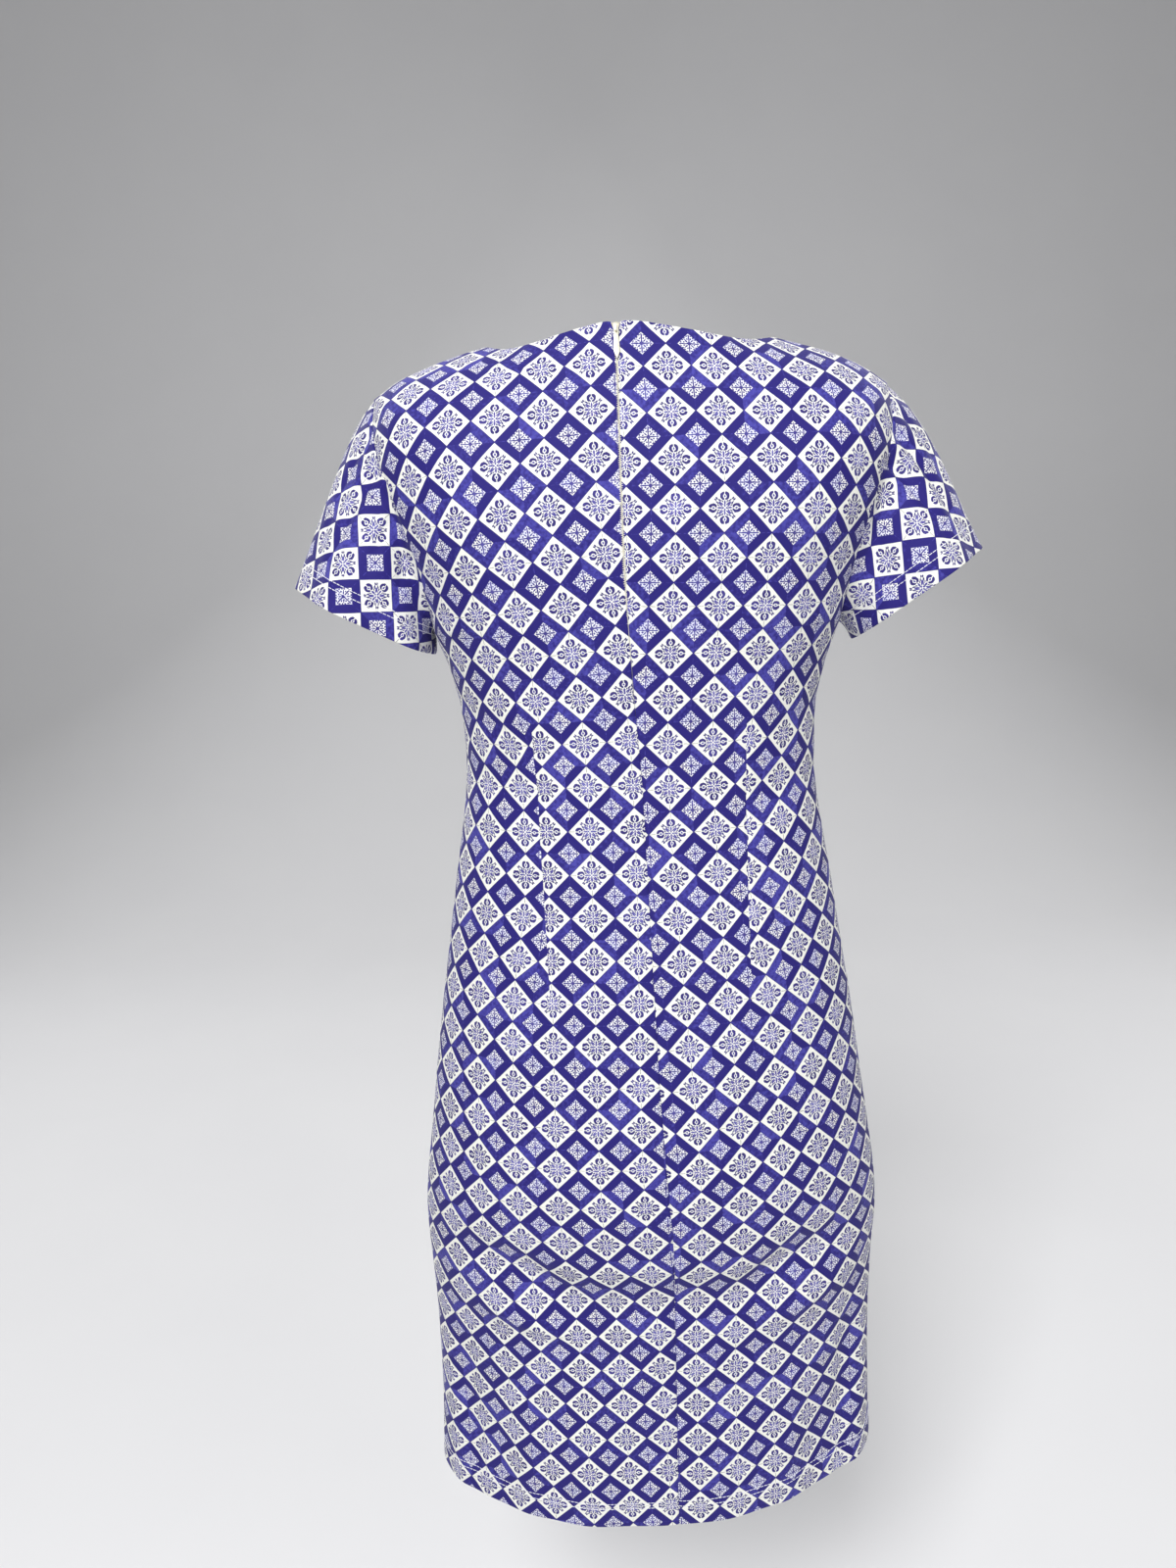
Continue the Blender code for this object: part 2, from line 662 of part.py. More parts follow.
def make_pull(parts):
    """The teardrop pull tab, hanging from the bridge with its tip near the cloth."""
    hinge = hinge_point()
    below = seam_point(hinge.z - PULL_LENGTH)
    out = slider_place()[2]
    tip = below + out * (REST_CLEARANCE + PULL_THICK)
    down = (tip - hinge).normalized()
    down.x = 0.0

    shoulder = EYE_BAR / 2.0 + EYE_LENGTH + EYE_BAR
    end_y = -PULL_LENGTH + PULL_WIDTH / 2.0
    outline = []
    for step in range(TAB_ARC + 1):
        turn = math.pi * step / TAB_ARC
        outline.append((-PULL_WIDTH / 2.0 * math.cos(turn),
                        end_y - PULL_WIDTH / 2.0 * math.sin(turn)))
    outline.append((PULL_NECK / 2.0, -shoulder))
    outline.append((PULL_NECK / 2.0, 0.0))
    outline.append((PULL_NECK / 2.0 - EYE_BAR / 2.0, EYE_BAR / 2.0))
    outline.append((-PULL_NECK / 2.0 + EYE_BAR / 2.0, EYE_BAR / 2.0))
    outline.append((-PULL_NECK / 2.0, 0.0))
    outline.append((-PULL_NECK / 2.0, -shoulder))
    eye = rectangle(-EYE_WIDTH / 2.0, EYE_WIDTH / 2.0,
                    -EYE_BAR / 2.0 - EYE_LENGTH, -EYE_BAR / 2.0)
    finish = material("zip_pull", CREAM, 0.30)
    made = place("zip_pull", flat_mesh("zip_pull", (outline, eye), PULL_THICK), finish, parts)
    made.location = hinge
    made.rotation_euler = (lean_of(down), 0.0, 0.0)


# ---------------------------------------------------------------- build
def main():
    for old in list(bpy.data.objects):
        bpy.data.objects.remove(old)
    parts = bpy.data.collections.new("a_line_dress")
    cutters = bpy.data.collections.new("cutters")
    bpy.context.scene.collection.children.link(parts)
    bpy.context.scene.collection.children.link(cutters)
    make_panels(parts)
    make_sleeves(parts)
    make_chain(parts)
    make_slider(parts, cutters)
    make_pull(parts)


main()
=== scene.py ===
"""Looks of a slim A-line dress: cloth, seams, hems, sewing, zip and printed tiles.

Metres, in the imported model's frame: +Z up, the back faces -Y, +X is the wearer's
right, and the origin lies between the shoulders. The tables of the form are the
same as those of the solids; the cloth here is a finer, thinner shell on that form.
"""
import json
import math

import bmesh
import bpy
import numpy as np
from mathutils import Matrix, Vector


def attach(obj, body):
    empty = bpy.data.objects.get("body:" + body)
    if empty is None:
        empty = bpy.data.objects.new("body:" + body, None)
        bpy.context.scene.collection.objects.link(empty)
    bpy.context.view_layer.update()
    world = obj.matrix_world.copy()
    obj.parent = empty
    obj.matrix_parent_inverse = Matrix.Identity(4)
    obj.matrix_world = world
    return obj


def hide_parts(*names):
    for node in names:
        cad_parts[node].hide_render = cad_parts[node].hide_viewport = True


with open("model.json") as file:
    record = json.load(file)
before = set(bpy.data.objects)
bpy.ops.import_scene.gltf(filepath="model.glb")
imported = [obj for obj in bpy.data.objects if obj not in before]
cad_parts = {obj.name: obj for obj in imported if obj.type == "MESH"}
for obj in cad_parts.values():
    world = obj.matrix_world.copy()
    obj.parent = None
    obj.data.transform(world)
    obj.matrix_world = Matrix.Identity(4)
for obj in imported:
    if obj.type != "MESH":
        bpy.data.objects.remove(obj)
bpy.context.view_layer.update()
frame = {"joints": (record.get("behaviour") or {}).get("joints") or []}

# ---- camera
PHOTO_HEIGHT = 1600
PHOTO_FOCAL = 1202.0             # focal length in pixels of the photo
CAMERA_PLACE = (-0.042, -0.928, -0.138)
CAMERA_PITCH = 12.0              # degrees below the horizon
CAMERA_ROLL = -2.0

# ---- form of the dress
SHOULDER_ROWS = 5
ARMHOLE_ROWS = 13
SIDE_ROWS = 26
TIP_ROW = SHOULDER_ROWS
UNDERARM_ROW = SHOULDER_ROWS + ARMHOLE_ROWS
HEM_ROW = UNDERARM_ROW + SIDE_ROWS

HEM_Z = -0.970
UNDERARM_Z = -0.210
NECK_Z = {"back": 0.004, "front": -0.045}
TIP_Z = {"back": -0.086, "front": -0.108}
BACK_NECK_DIP = 0.009
DIP_ROWS = 4
HEM_TILT = 0.0065
HEM_RISE = 0.0125
TILT_TOP_Z = -0.600

# Centre back and centre front, seen from the side: height, depth.
CENTRE_LINE = {
    "back": (
        (0.004, -0.07), (-0.037, -0.085), (-0.074, -0.095), (-0.139, -0.105), (-0.189, -0.101),
        (-0.254, -0.092), (-0.318, -0.086), (-0.383, -0.0855), (-0.45, -0.09), (-0.518, -0.0955),
        (-0.585, -0.1005), (-0.642, -0.1025), (-0.683, -0.0985), (-0.731, -0.0885),
        (-0.762, -0.0815), (-0.796, -0.0765), (-0.872, -0.0745), (-0.97, -0.074),
    ),
    "front": (
        (-0.045, 0.064), (-0.1, 0.084), (-0.16, 0.102), (-0.215, 0.112), (-0.25, 0.113),
        (-0.29, 0.106), (-0.33, 0.095), (-0.37, 0.0885), (-0.41, 0.0885), (-0.46, 0.094),
        (-0.52, 0.1), (-0.6, 0.103), (-0.7, 0.102), (-0.97, 0.105),
    ),
}
# Shoulder seam: share of the way from neckline to shoulder tip, x, y, z.
SHOULDER_LINE = (
    (0, 0.108, 0.004, 0), (0.25, 0.13, 0.006, -0.0055), (0.5, 0.152, 0.008, -0.0125),
    (0.75, 0.174, 0.009, -0.022), (1, 0.193, 0.01, -0.0345),
)
# Armhole: share of the way from shoulder tip to underarm, height,
# then x and y of the back edge, x and y of the front edge.
ARMHOLE_LINE = (
    (0, -0.0345, 0.193, 0.01, 0.193, 0.01), (0.14, -0.0535, 0.1915, -0.022, 0.187, 0.034),
    (0.27, -0.078, 0.1865, -0.043, 0.1765, 0.051), (0.4, -0.103, 0.1775, -0.053, 0.1665, 0.061),
    (0.54, -0.132, 0.1685, -0.055, 0.1575, 0.063), (0.68, -0.161, 0.161, -0.047, 0.154, 0.055),
    (0.82, -0.188, 0.1575, -0.032, 0.1545, 0.038), (0.92, -0.204, 0.157, -0.014, 0.1562, 0.018),
    (1, -0.21, 0.1572, 0.002, 0.1572, 0.002),
)
# Side seam: height, x, y.
SIDE_LINE = (
    (-0.21, 0.1572, 0.002), (-0.241, 0.146, 0.002), (-0.288, 0.1385, 0.001), (-0.336, 0.14, 0),
    (-0.401, 0.1505, 0), (-0.469, 0.1615, 0), (-0.538, 0.1725, 0), (-0.61, 0.1825, 0),
    (-0.684, 0.1925, 0.001), (-0.715, 0.194, 0.002), (-0.77, 0.1925, 0.006),
    (-0.83, 0.1915, 0.01), (-0.9, 0.193, 0.014), (-0.97, 0.197, 0.018),
)
# How a row bends from the centre to its edge: height at the centre,
# then turn in degrees and squareness of the back, turn and squareness of the front.
BEND_LINE = (
    (0.004, 90, 1, 90, 1), (-0.086, 90, 1.3, 90, 1.1), (-0.11, 74, 1.45, 72, 1.15),
    (-0.14, 64, 1.5, 62, 1.2), (-0.175, 68, 1.4, 66, 1.2), (-0.21, 90, 1.3, 90, 1.15),
    (-0.3, 90, 1.2, 90, 1.05), (-0.4, 90, 1.15, 90, 1.05), (-0.6, 90, 1.06, 90, 1.08),
    (-0.97, 90, 1, 90, 1.1),
)
# The dress hangs a little askew: height, sideways shift of the centre back seam.
BACK_SEAM_LINE = (
    (0.004, -0.012), (-0.15, -0.012), (-0.245, -0.0075), (-0.317, -0.0025), (-0.39, 0),
    (-0.546, 0.0045), (-0.625, 0.0085), (-0.717, 0.0135), (-0.97, 0.014),
)
BUST_X = 0.082
BUST_Z = -0.240
BUST_FULLNESS = 0.013
BUST_REACH_X = 0.042
BUST_REACH_Z = 0.052

FOLD_EASE = 1.5
FOLD_FREE_EDGE = 1.0 / 6.0
NORMAL_STEP = 0.01

# Large soft folds, as in the solids: x and z of the start, x and z of the end,
# depth (above zero stands out), half-width.
FOLDS = {
    "back": (
        (-0.165, -0.69, -0.03, -0.775, -0.0045, 0.022), (0.165, -0.685, 0.045, -0.77, -0.0045, 0.022),
        (-0.178, -0.735, -0.06, -0.8, 0.0035, 0.02), (0.178, -0.73, 0.07, -0.8, 0.0035, 0.02),
        (-0.15, -0.8, -0.142, -1.02, -0.004, 0.024), (0.148, -0.79, 0.14, -1.02, -0.0045, 0.024),
        (0.06, -0.85, 0.055, -1.03, 0.003, 0.03), (-0.07, -0.84, -0.062, -1.03, 0.003, 0.03),
        (-0.15, -0.3, -0.06, -0.345, -0.0025, 0.02), (0.15, -0.305, 0.065, -0.35, -0.0025, 0.02),
    ),
    "front": (
        (-0.15, -0.56, -0.045, -0.6, -0.003, 0.024), (0.15, -0.57, 0.05, -0.605, -0.003, 0.024),
        (-0.12, -0.7, -0.11, -1.02, 0.0045, 0.03), (0.125, -0.69, 0.115, -1.02, 0.0045, 0.03),
        (0.01, -0.74, 0.006, -1.03, -0.0035, 0.032),
    ),
}
# Smaller creases that lie on the large folds, in the same columns.
CREASES = {
    "back": (
        (-0.172, -0.25, -0.075, -0.292, -0.0016, 0.008), (-0.165, -0.275, -0.095, -0.322, 0.0012, 0.008),
        (0.17, -0.248, 0.08, -0.3, -0.0015, 0.008), (0.16, -0.285, 0.1, -0.33, 0.0012, 0.009),
        (-0.2, -0.688, -0.01, -0.766, -0.0032, 0.016), (0.205, -0.68, 0.02, -0.762, -0.0034, 0.016),
        (-0.13, -0.752, 0.14, -0.748, -0.005, 0.024), (-0.11, -0.716, 0.115, -0.712, 0.0014, 0.014),
        (-0.172, -0.752, -0.05, -0.8, 0.0022, 0.009), (-0.15, -0.772, -0.04, -0.808, -0.0016, 0.008),
        (0.175, -0.74, 0.075, -0.788, 0.0022, 0.009), (0.04, -0.8, 0.112, -0.818, -0.0016, 0.008),
        (-0.168, -0.76, -0.163, -1.01, -0.0034, 0.009), (-0.182, -0.78, -0.176, -1.01, 0.0026, 0.009),
        (0.17, -0.73, 0.16, -1.01, -0.0044, 0.009), (0.184, -0.76, 0.175, -1.01, 0.0032, 0.009),
        (-0.118, -0.83, -0.112, -1.01, 0.002, 0.012), (0.112, -0.83, 0.106, -1.01, 0.0024, 0.012),
        (0.015, -0.8, 0.013, -0.985, -0.0012, 0.013),
        (-0.1, -0.095, -0.05, -0.045, -0.001, 0.009), (0.105, -0.098, 0.05, -0.04, -0.001, 0.009),
    ),
    "front": (
        (-0.168, -0.215, -0.1, -0.262, -0.0018, 0.01), (0.166, -0.212, 0.104, -0.258, -0.0018, 0.01),
        (-0.14, -0.33, -0.05, -0.372, -0.0016, 0.01), (0.142, -0.325, 0.06, -0.37, -0.0016, 0.01),
        (-0.16, -0.59, -0.08, -0.63, 0.0014, 0.012), (0.158, -0.6, 0.085, -0.64, 0.0014, 0.012),
        (-0.06, -0.72, -0.055, -1, -0.002, 0.015), (0.068, -0.735, 0.062, -1, -0.0022, 0.014),
        (-0.165, -0.76, -0.16, -1, 0.0018, 0.012), (0.167, -0.755, 0.16, -1, 0.0018, 0.012),
    ),
}

# Sleeves, as in the solids: side, tilt, hem lift, reach of the cap, then
# x, y and z of the middle of the hem.
SLEEVES = {
    "sleeve_left": (-1, 28.0, 3.0, 0.55, 0.2105, 0.002, -0.1985),
    "sleeve_right": (1, 34.0, 9.0, 1.00, 0.2190, 0.002, -0.1925),
}
HEM_ACROSS = 0.0595
HEM_DEPTH = 0.0660
HANG_REACH = 0.75
SHOULDER_WAY = (0.85, 0.0, -0.53)
UNDERARM_WAY = (0.90, 0.0, -0.44)
UNDERARM_HOLD = 1.5
NEAR_EDGE = 0.9
SLEEVE_POINTS = 2 * ARMHOLE_ROWS
# Place round the hem in degrees, depth at the hem, half-width in degrees.
SLEEVE_FOLDS = (
    (38, -0.0045, 16), (70, 0.003, 17), (104, -0.004, 17), (136, 0.0025, 17),
    (222, 0.002, 18), (258, -0.004, 18), (296, 0.003, 18), (330, -0.0035, 16),
)
# Tucks that start at the armhole: place round it in degrees, drift in degrees
# to the hem, depth, half-width in degrees, share of the sleeve it runs.
TUCKS = {
    "sleeve_left": (
        (30, 4, -0.003, 3.5, 0.8), (48, -6, 0.002, 4, 0.9), (56, -5, -0.004, 4, 1),
        (66, -4, 0.0026, 4.5, 0.9), (84, 6, -0.0026, 5, 0.95), (112, 6, -0.002, 6, 0.8),
        (290, 4, -0.0024, 5, 0.85), (318, 2, -0.002, 5, 0.75),
    ),
    "sleeve_right": (
        (22, 4, -0.0026, 3.5, 0.7), (42, -2, -0.0034, 3.5, 0.95), (51, -2, 0.0024, 4, 0.85),
        (61, 0, -0.0036, 3.5, 1), (70, 3, 0.0022, 4.5, 0.9), (108, 6, -0.002, 6, 0.8),
        (286, 4, -0.0024, 5, 0.85), (312, 2, -0.002, 5, 0.75),
    ),
}
# Hollows beside the armhole seam, where the sleeve drops behind the body:
# place round it in degrees, depth, half-width in degrees.
HOLLOWS = {
    "sleeve_left": ((106, -0.0095, 36), (252, -0.0055, 40)),
    "sleeve_right": ((102, -0.012, 36), (252, -0.0055, 40)),
}
HOLLOW_REACH = 0.0100            # from the seam to the deepest line of a hollow
TUCK_START = 0.06                # share of the sleeve in which a tuck deepens
ARMHOLE_RIDGE = 0.0012           # how far the seam's turned edges lift the sleeve
RIDGE_RISE = 0.0012
RIDGE_FALL = 0.0080
ARMHOLE_ROUND = 0.0670           # of the armhole: its length round, over two pi

# ---- fineness of the cloth
ROW_SPREAD = ((0.0, 5.0, 30), (5.0, 18.0, 65), (18.0, 44.0, 250))
PANEL_COLUMNS = {"back": (34, 40), "front": (40, 46, 40)}
COLUMN_CROWD = 0.72
SLEEVE_RINGS = 70
SLEEVE_COLUMNS = 156
SLEEVE_CROWD = 0.45
FLAT_COLUMNS = 8
FLAT_STEPS = 2                   # of a sleeve's flat pattern, between armhole points
FLATTEN_PASSES = 300

# ---- sewing
CLOTH_THICK = 0.00045
TURN_RADIUS = 0.0006             # of the fold at a hem or at the neckline
TURN_STEPS = 5
BODY_HEM = 0.025                 # depth of the hem turned up inside
SLEEVE_HEM = 0.022
NECK_TURN = 0.012
TURNED_ROWS = 7

BODY_STITCHES = (0.0180, 0.0230)     # rows of twin-needle stitches above the hem
SLEEVE_STITCHES = (0.0150, 0.0200)
STITCH_STEP = 0.0034
STITCH_SHARE = 0.88              # of a step is thread on top of the cloth
THREAD_RADIUS = 0.00034
STITCH_SIDES = 6
# One stitch: place along it, height and radius in thread radii.
STITCH_SECTIONS = ((0.0, -0.4, 0.45), (0.16, 0.45, 0.95), (0.84, 0.45, 0.95), (1.0, -0.4, 0.45))

# How far a seam sinks into the cloth, its width, the seed of its puckers.
SEAMS = {"side": (0.0009, 0.0016, 0.3), "back": (0.0009, 0.0016, 1.9), "dart": (0.0007, 0.0013, 2.7)}
ARMHOLE_SEED = 4.1
SEAM_FADE = 0.5                  # rows in which a side seam fades out at the armhole
PUCKER = 0.00022                 # ripples that the stitches draw along a seam
PUCKER_REACH = 0.007
SWELL = 0.0005                   # slow unevenness of the whole cloth

# Waist darts: x at the top, top, x at the bottom, bottom.
DARTS = {
    "back_left": (-0.0820, -0.268, -0.0765, -0.480),
    "back_right": (0.0750, -0.268, 0.0770, -0.480),
    "front": (0.0850, -0.275, 0.0880, -0.500),
}
# Cloth folded away in a dart, beyond what the form itself needs.
DART_TAKES = {"back_left": 0.0120, "back_right": 0.0070, "front": 0.0060}
DART_FULLNESS = 0.8              # under 1: the dart widens quickly below its tip
DART_SHUT = 0.01                 # strength under which a dart counts as shut
DART_LIMIT = 0.6                 # share of a row's half-width that darts stay within

# ---- zip
ZIP_LENGTH = 0.520
NOTCH_HALF = 0.0030              # half of the gap at the top of the closed zip
NOTCH_DEPTH = 0.0120
NOTCH_EASE = 1.4
NOTCH_REACH = 0.0090             # how far into the cloth its opening is felt
SLIT_HALF = 0.00036              # half of the slit that shows the coil
SLIT_LENGTH = 0.2900             # down to where the slit has closed
SLIT_FADE = 0.1200
SLIT_REACH = 0.0030
SEAM_STEPS = 900
COIL_PITCH = 0.00075
COIL_DEPTH = 0.00100             # behind the cloth's face
CLOSED_SINK = 0.00100            # how much deeper the zip lies where the slit has closed
COIL_REACH = 0.0017
COIL_OVERLAP = 0.0006
COIL_RADIUS = 0.00030
TAPE_DEPTH = 0.00165
TAPE_INNER = 0.00020
TAPE_OUTER = 0.00550
TAPE_THICK = 0.00040
TAPE_COLUMNS = 4
TAPE_STRIDE = 6

REST_CLEARANCE = 0.0003
SLIDER_TOP_Z = 0.0020
SLIDER_LENGTH = 0.0085
SLIDER_THICK = 0.0016
SLIDER_EDGE = 0.00040
# The slider: distance down from its top, half-width.
SLIDER_SHAPE = (
    (0, 0.0013), (0.0006, 0.0018), (0.002, 0.00195), (0.004, 0.00185), (0.0062, 0.00145),
    (0.008, 0.00125), (0.0085, 0.0009),
)
BRIDGE_WIDTH = 0.0012
BRIDGE_BAR = 0.0008
BRIDGE_GAP = 0.0016
BRIDGE_LENGTH = 0.0056
BRIDGE_ROUND = 0.0009
BRIDGE_EDGE = 0.00018
PULL_LENGTH = 0.0205
PULL_THICK = 0.0009
PULL_EDGE = 0.00025
# The pull tab: distance down from its axis, half-width.
PULL_SHAPE = (
    (-0.00045, 0.0011), (0.0003, 0.00155), (0.004, 0.00155), (0.0085, 0.0018),
    (0.0125, 0.00215), (0.015, 0.00208), (0.0175, 0.00145), (0.0195, 0.00055), (0.0205, 0),
)
EYE_WIDTH = 0.0019
EYE_LENGTH = 0.0030
EYE_BAR = 0.0009
EYE_ROUND = 0.0006
MERGE = 0.000002
SHARP_ANGLE = 40.0

# ---- print
TILE = 0.0236                    # side of a printed tile
# How each piece lies on the print: turn in degrees, then shift across and up in metres.
LAYS = {
    "front": (45.0, 0.0, 0.0040),
    "back_left": (45.2, -0.0145, 0.0127),
    "back_right": (43.8, -0.0005, -0.0162),
    "sleeve_left": (28.0, -0.0025, 0.0110),
    "sleeve_right": (-29.0, -0.0122, 0.0037),
}

FRAME_INSIDE = 0.246             # of a blue tile: half of its light square, in tiles
FRAME_SPILL = 0.016              # how far the blue frames run over the white tiles
EDGE_SOFT = 0.007                # softness of printed edges, in tiles
HAND_SHAKE = 0.050               # unevenness of the drawn marks, in tiles
THREADS_PER_TILE = 57.0
SHOW_THROUGH = 0.35              # of the print on the reverse of the cloth

# Noises of the print: scale, detail.
SPECKLE = (26.0, 3.0)
WASH = (2.1, 2.0)
BRUSH = (9.0, 3.0)
SLUB = (9.0, 2.0)
SHAKE_A = (11.0, 2.0)
SHAKE_B = (12.3, 2.0)

# Leaves of a white tile's bud, from the middle to a corner: centre, radii, lean.
BUD = (0.342, 0.036, 0.118, 0.102, 4.0)
BUD_HOLLOW = (0.328, 0.0, 0.060, 0.056)
BUD_EYE = (0.330, 0.0, 0.038, 0.028)

PAPER = (0.87, 0.865, 0.81)
PAPER_SHADE = (0.80, 0.81, 0.76)
INNER_SHADE = (0.68, 0.70, 0.84)
GROUT = (0.22, 0.22, 0.20)
REVERSE = (0.76, 0.76, 0.78)
DEEP_BLUE = (0.020, 0.014, 0.165)
BRUSHED_BLUE = (0.080, 0.074, 0.410)
NAVY = (0.026, 0.018, 0.150)
VIOLET = (0.076, 0.062, 0.345)
PERIWINKLE = (0.200, 0.190, 0.560)
CREAMS = ((0.80, 0.77, 0.64), (0.70, 0.66, 0.52))
TAPES = ((0.66, 0.62, 0.48), (0.52, 0.48, 0.36))
THREADS = ((0.84, 0.84, 0.88), (0.70, 0.70, 0.78))
STUDIO_GREYS = ((0.74, 0.74, 0.75), (0.71, 0.71, 0.725))

# ---- studio sizes
SENSOR_HEIGHT = 36.0
FLOOR_Z = -1.350
STAGE_FRONT = 5.0
STAGE_BACK = 4.0
STAGE_HALF = 6.0
SWEEP_RADIUS = 1.6
SWEEP_STEPS = 20
WALL_TOP = 4.5
LIGHT_AIM = (0.0, 0.0, -0.45)
# Soft boxes: name, place, side in metres, power in watts.
LIGHTS = (
    ("key", (-0.8, -2.4, 1.8), 1.1, 118.0),
    ("fill", (1.8, -2.2, 0.8), 1.8, 26.0),
    ("top", (0.2, 0.6, 2.3), 1.4, 9.0),
    ("front_left", (-2.1, 2.0, 1.2), 1.8, 42.0),
    ("front_right", (2.1, 2.0, 1.2), 1.8, 42.0),
)
WORLD_COLOUR = (1.0, 1.0, 1.0)
WORLD_STRENGTH = 0.10


# ---- curves and rows
def mix(start, end, share):
    return start + (end - start) * share


def unit(vectors):
    return vectors / np.maximum(np.linalg.norm(vectors, axis=-1, keepdims=True), 1e-12)


def upto_one(values):
    return np.clip(values, 0.0, 1.0)


def smooth(table, place, column):
    """A smooth curve through one column of a table, read at an array of places."""
    rows = np.array(sorted(table))
    knots, values = rows[:, 0], rows[:, column]
    slopes = np.empty_like(values)
    slopes[1:-1] = (values[2:] - values[:-2]) / (knots[2:] - knots[:-2])
    slopes[0] = (values[1] - values[0]) / (knots[1] - knots[0])
    slopes[-1] = (values[-1] - values[-2]) / (knots[-1] - knots[-2])
    place = np.clip(place, knots[0], knots[-1])
    index = np.clip(np.searchsorted(knots, place, side="right") - 1, 0, len(knots) - 2)
    span = knots[index + 1] - knots[index]
    share = (place - knots[index]) / span
    ease = share * share * (3.0 - 2.0 * share)
    return (mix(values[index], values[index + 1], ease)
            + slopes[index] * span * share * (1.0 - share) ** 2
            - slopes[index + 1] * span * share * share * (1.0 - share))


def panel_of(name):
    """The panel that a piece of the body belongs to: both halves of the back are one."""
    return "front" if name == "front" else "back"


def centre_height(panel, row):
    """Height at which rows cross the centre of their panel."""
    return np.interp(row, (0, TIP_ROW, UNDERARM_ROW, HEM_ROW),
                     (NECK_Z[panel], TIP_Z[panel], UNDERARM_Z, HEM_Z))


def row_edge(panel, row):
    """Outer ends of rows on the wearer's right: shoulder, armhole or side seam."""
    first = 2 if panel == "back" else 4
    at_tip = row / TIP_ROW
    at_armhole = (row - TIP_ROW) / ARMHOLE_ROWS
    height = centre_height(panel, row)
    on_shoulder = [smooth(SHOULDER_LINE, at_tip, column) for column in (1, 2, 3)]
    on_armhole = [smooth(ARMHOLE_LINE, at_armhole, column) for column in (first, first + 1, 1)]
    on_side = [smooth(SIDE_LINE, height, 1), smooth(SIDE_LINE, height, 2), height]
    return [np.where(row <= TIP_ROW, a, np.where(row <= UNDERARM_ROW, b, c))
            for a, b, c in zip(on_shoulder, on_armhole, on_side)]


def row_bend(panel, row):
    """Turn of rows at their edge, in radians, and their squareness."""
    height = centre_height(panel, row)
    if panel == "front":
        height = np.where(row <= UNDERARM_ROW, centre_height("back", row), height)
    first = 1 if panel == "back" else 3
    turn = np.minimum(smooth(BEND_LINE, height, first), 90.0)
    return np.radians(turn), smooth(BEND_LINE, height, first + 1)


def share_at(panel, row, x):
    """The share of a row, from -1 to 1, at which it has a given x."""
    turn = row_bend(panel, row)[0]
    return np.arcsin(x * np.sin(turn) / row_edge(panel, row)[0]) / turn


def seam_share(row):
    """Where the centre back seam crosses rows of the back."""
    return share_at("back", row, smooth(BACK_SEAM_LINE, centre_height("back", row), 1))


def bare(panel, row, share):
    """Points of a panel before its folds, for arrays of rows and shares."""
    middle = centre_height(panel, row)
    centre_y = smooth(CENTRE_LINE[panel], middle, 1)
    edge_x, edge_y, edge_z = row_edge(panel, row)
    turn, square = row_bend(panel, row)
    angle = share * turn
    forward = ((1.0 - np.cos(angle)) / (1.0 - np.cos(turn))) ** square
    rise = np.sin(share * math.pi / 2.0) ** 2
    dip = 0.0
    if panel == "back":
        seam = seam_share(row)
        away = share - seam
        out = away / (np.where(away < 0.0, -1.0, 1.0) - seam)
        dip = BACK_NECK_DIP * upto_one(1.0 - row / DIP_ROWS) * np.sin(out * math.pi) ** 2
    across = np.sin(angle) / np.sin(turn)
    hang = np.clip((TILT_TOP_Z - middle) / (TILT_TOP_Z - HEM_Z), 0.0, None)
    tilt = (HEM_TILT * across + HEM_RISE * across * across) * hang
    points = (edge_x * across, mix(centre_y, edge_y, forward),
              mix(middle, edge_z, rise) - dip + tilt)
    return np.stack(np.broadcast_arrays(*points), axis=-1)


def fold_height(x, z, table):
    """How far the folds of a table move the cloth out at x and z."""
    height = np.zeros_like(x)
    for start_x, start_z, end_x, end_z, depth, width in table:
        run_x, run_z = end_x - start_x, end_z - start_z
        length = math.hypot(run_x, run_z)
        along = ((x - start_x) * run_x + (z - start_z) * run_z) / length ** 2
        across = ((x - start_x) * run_z - (z - start_z) * run_x) / length
        fade = np.sin(math.pi * upto_one(along)) ** FOLD_EASE
        height += depth * fade * np.exp(-(across / width) ** 2)
    return height


def swell(x, z):
    """Slow, slight unevenness of hanging cloth."""
    return SWELL * (np.sin(61.0 * x + 23.0 * z + 0.7) * np.sin(47.0 * z - 19.0 * x)
                    + 0.6 * np.sin(113.0 * x - 71.0 * z + 2.1) * np.sin(38.0 * z + 1.3))


def surface(panel, row, share):
    """Outer face of a panel with its folds, and the way out of it."""
    points = bare(panel, row, share)
    x, z = points[..., 0], points[..., 2]
    height = fold_height(x, z, FOLDS[panel])
    if panel == "front":
        for side in (-1, 1):
            across = (x - side * BUST_X) / BUST_REACH_X
            along = (z - BUST_Z) / BUST_REACH_Z
            height += BUST_FULLNESS * np.exp(-across * across - along * along)
    height += fold_height(x, z, CREASES[panel]) + swell(x, z)
    height = height * upto_one((1.0 - np.abs(share)) / FOLD_FREE_EDGE)
    across = bare(panel, row, share + NORMAL_STEP) - bare(panel, row, share - NORMAL_STEP)
    down = (bare(panel, np.minimum(row + NORMAL_STEP, HEM_ROW), share)
            - bare(panel, np.maximum(row - NORMAL_STEP, 0.0), share))
    out = unit(np.cross(across, -down))
    if panel == "front":
        out = -out
    return points + out * height[..., None], out


# ---- grids and lines
def cells_of(grid):
    """The four corners of each cell of a grid, going round it."""
    return np.stack((grid[:-1, :-1], grid[1:, :-1], grid[1:, 1:], grid[:-1, 1:]), axis=2)


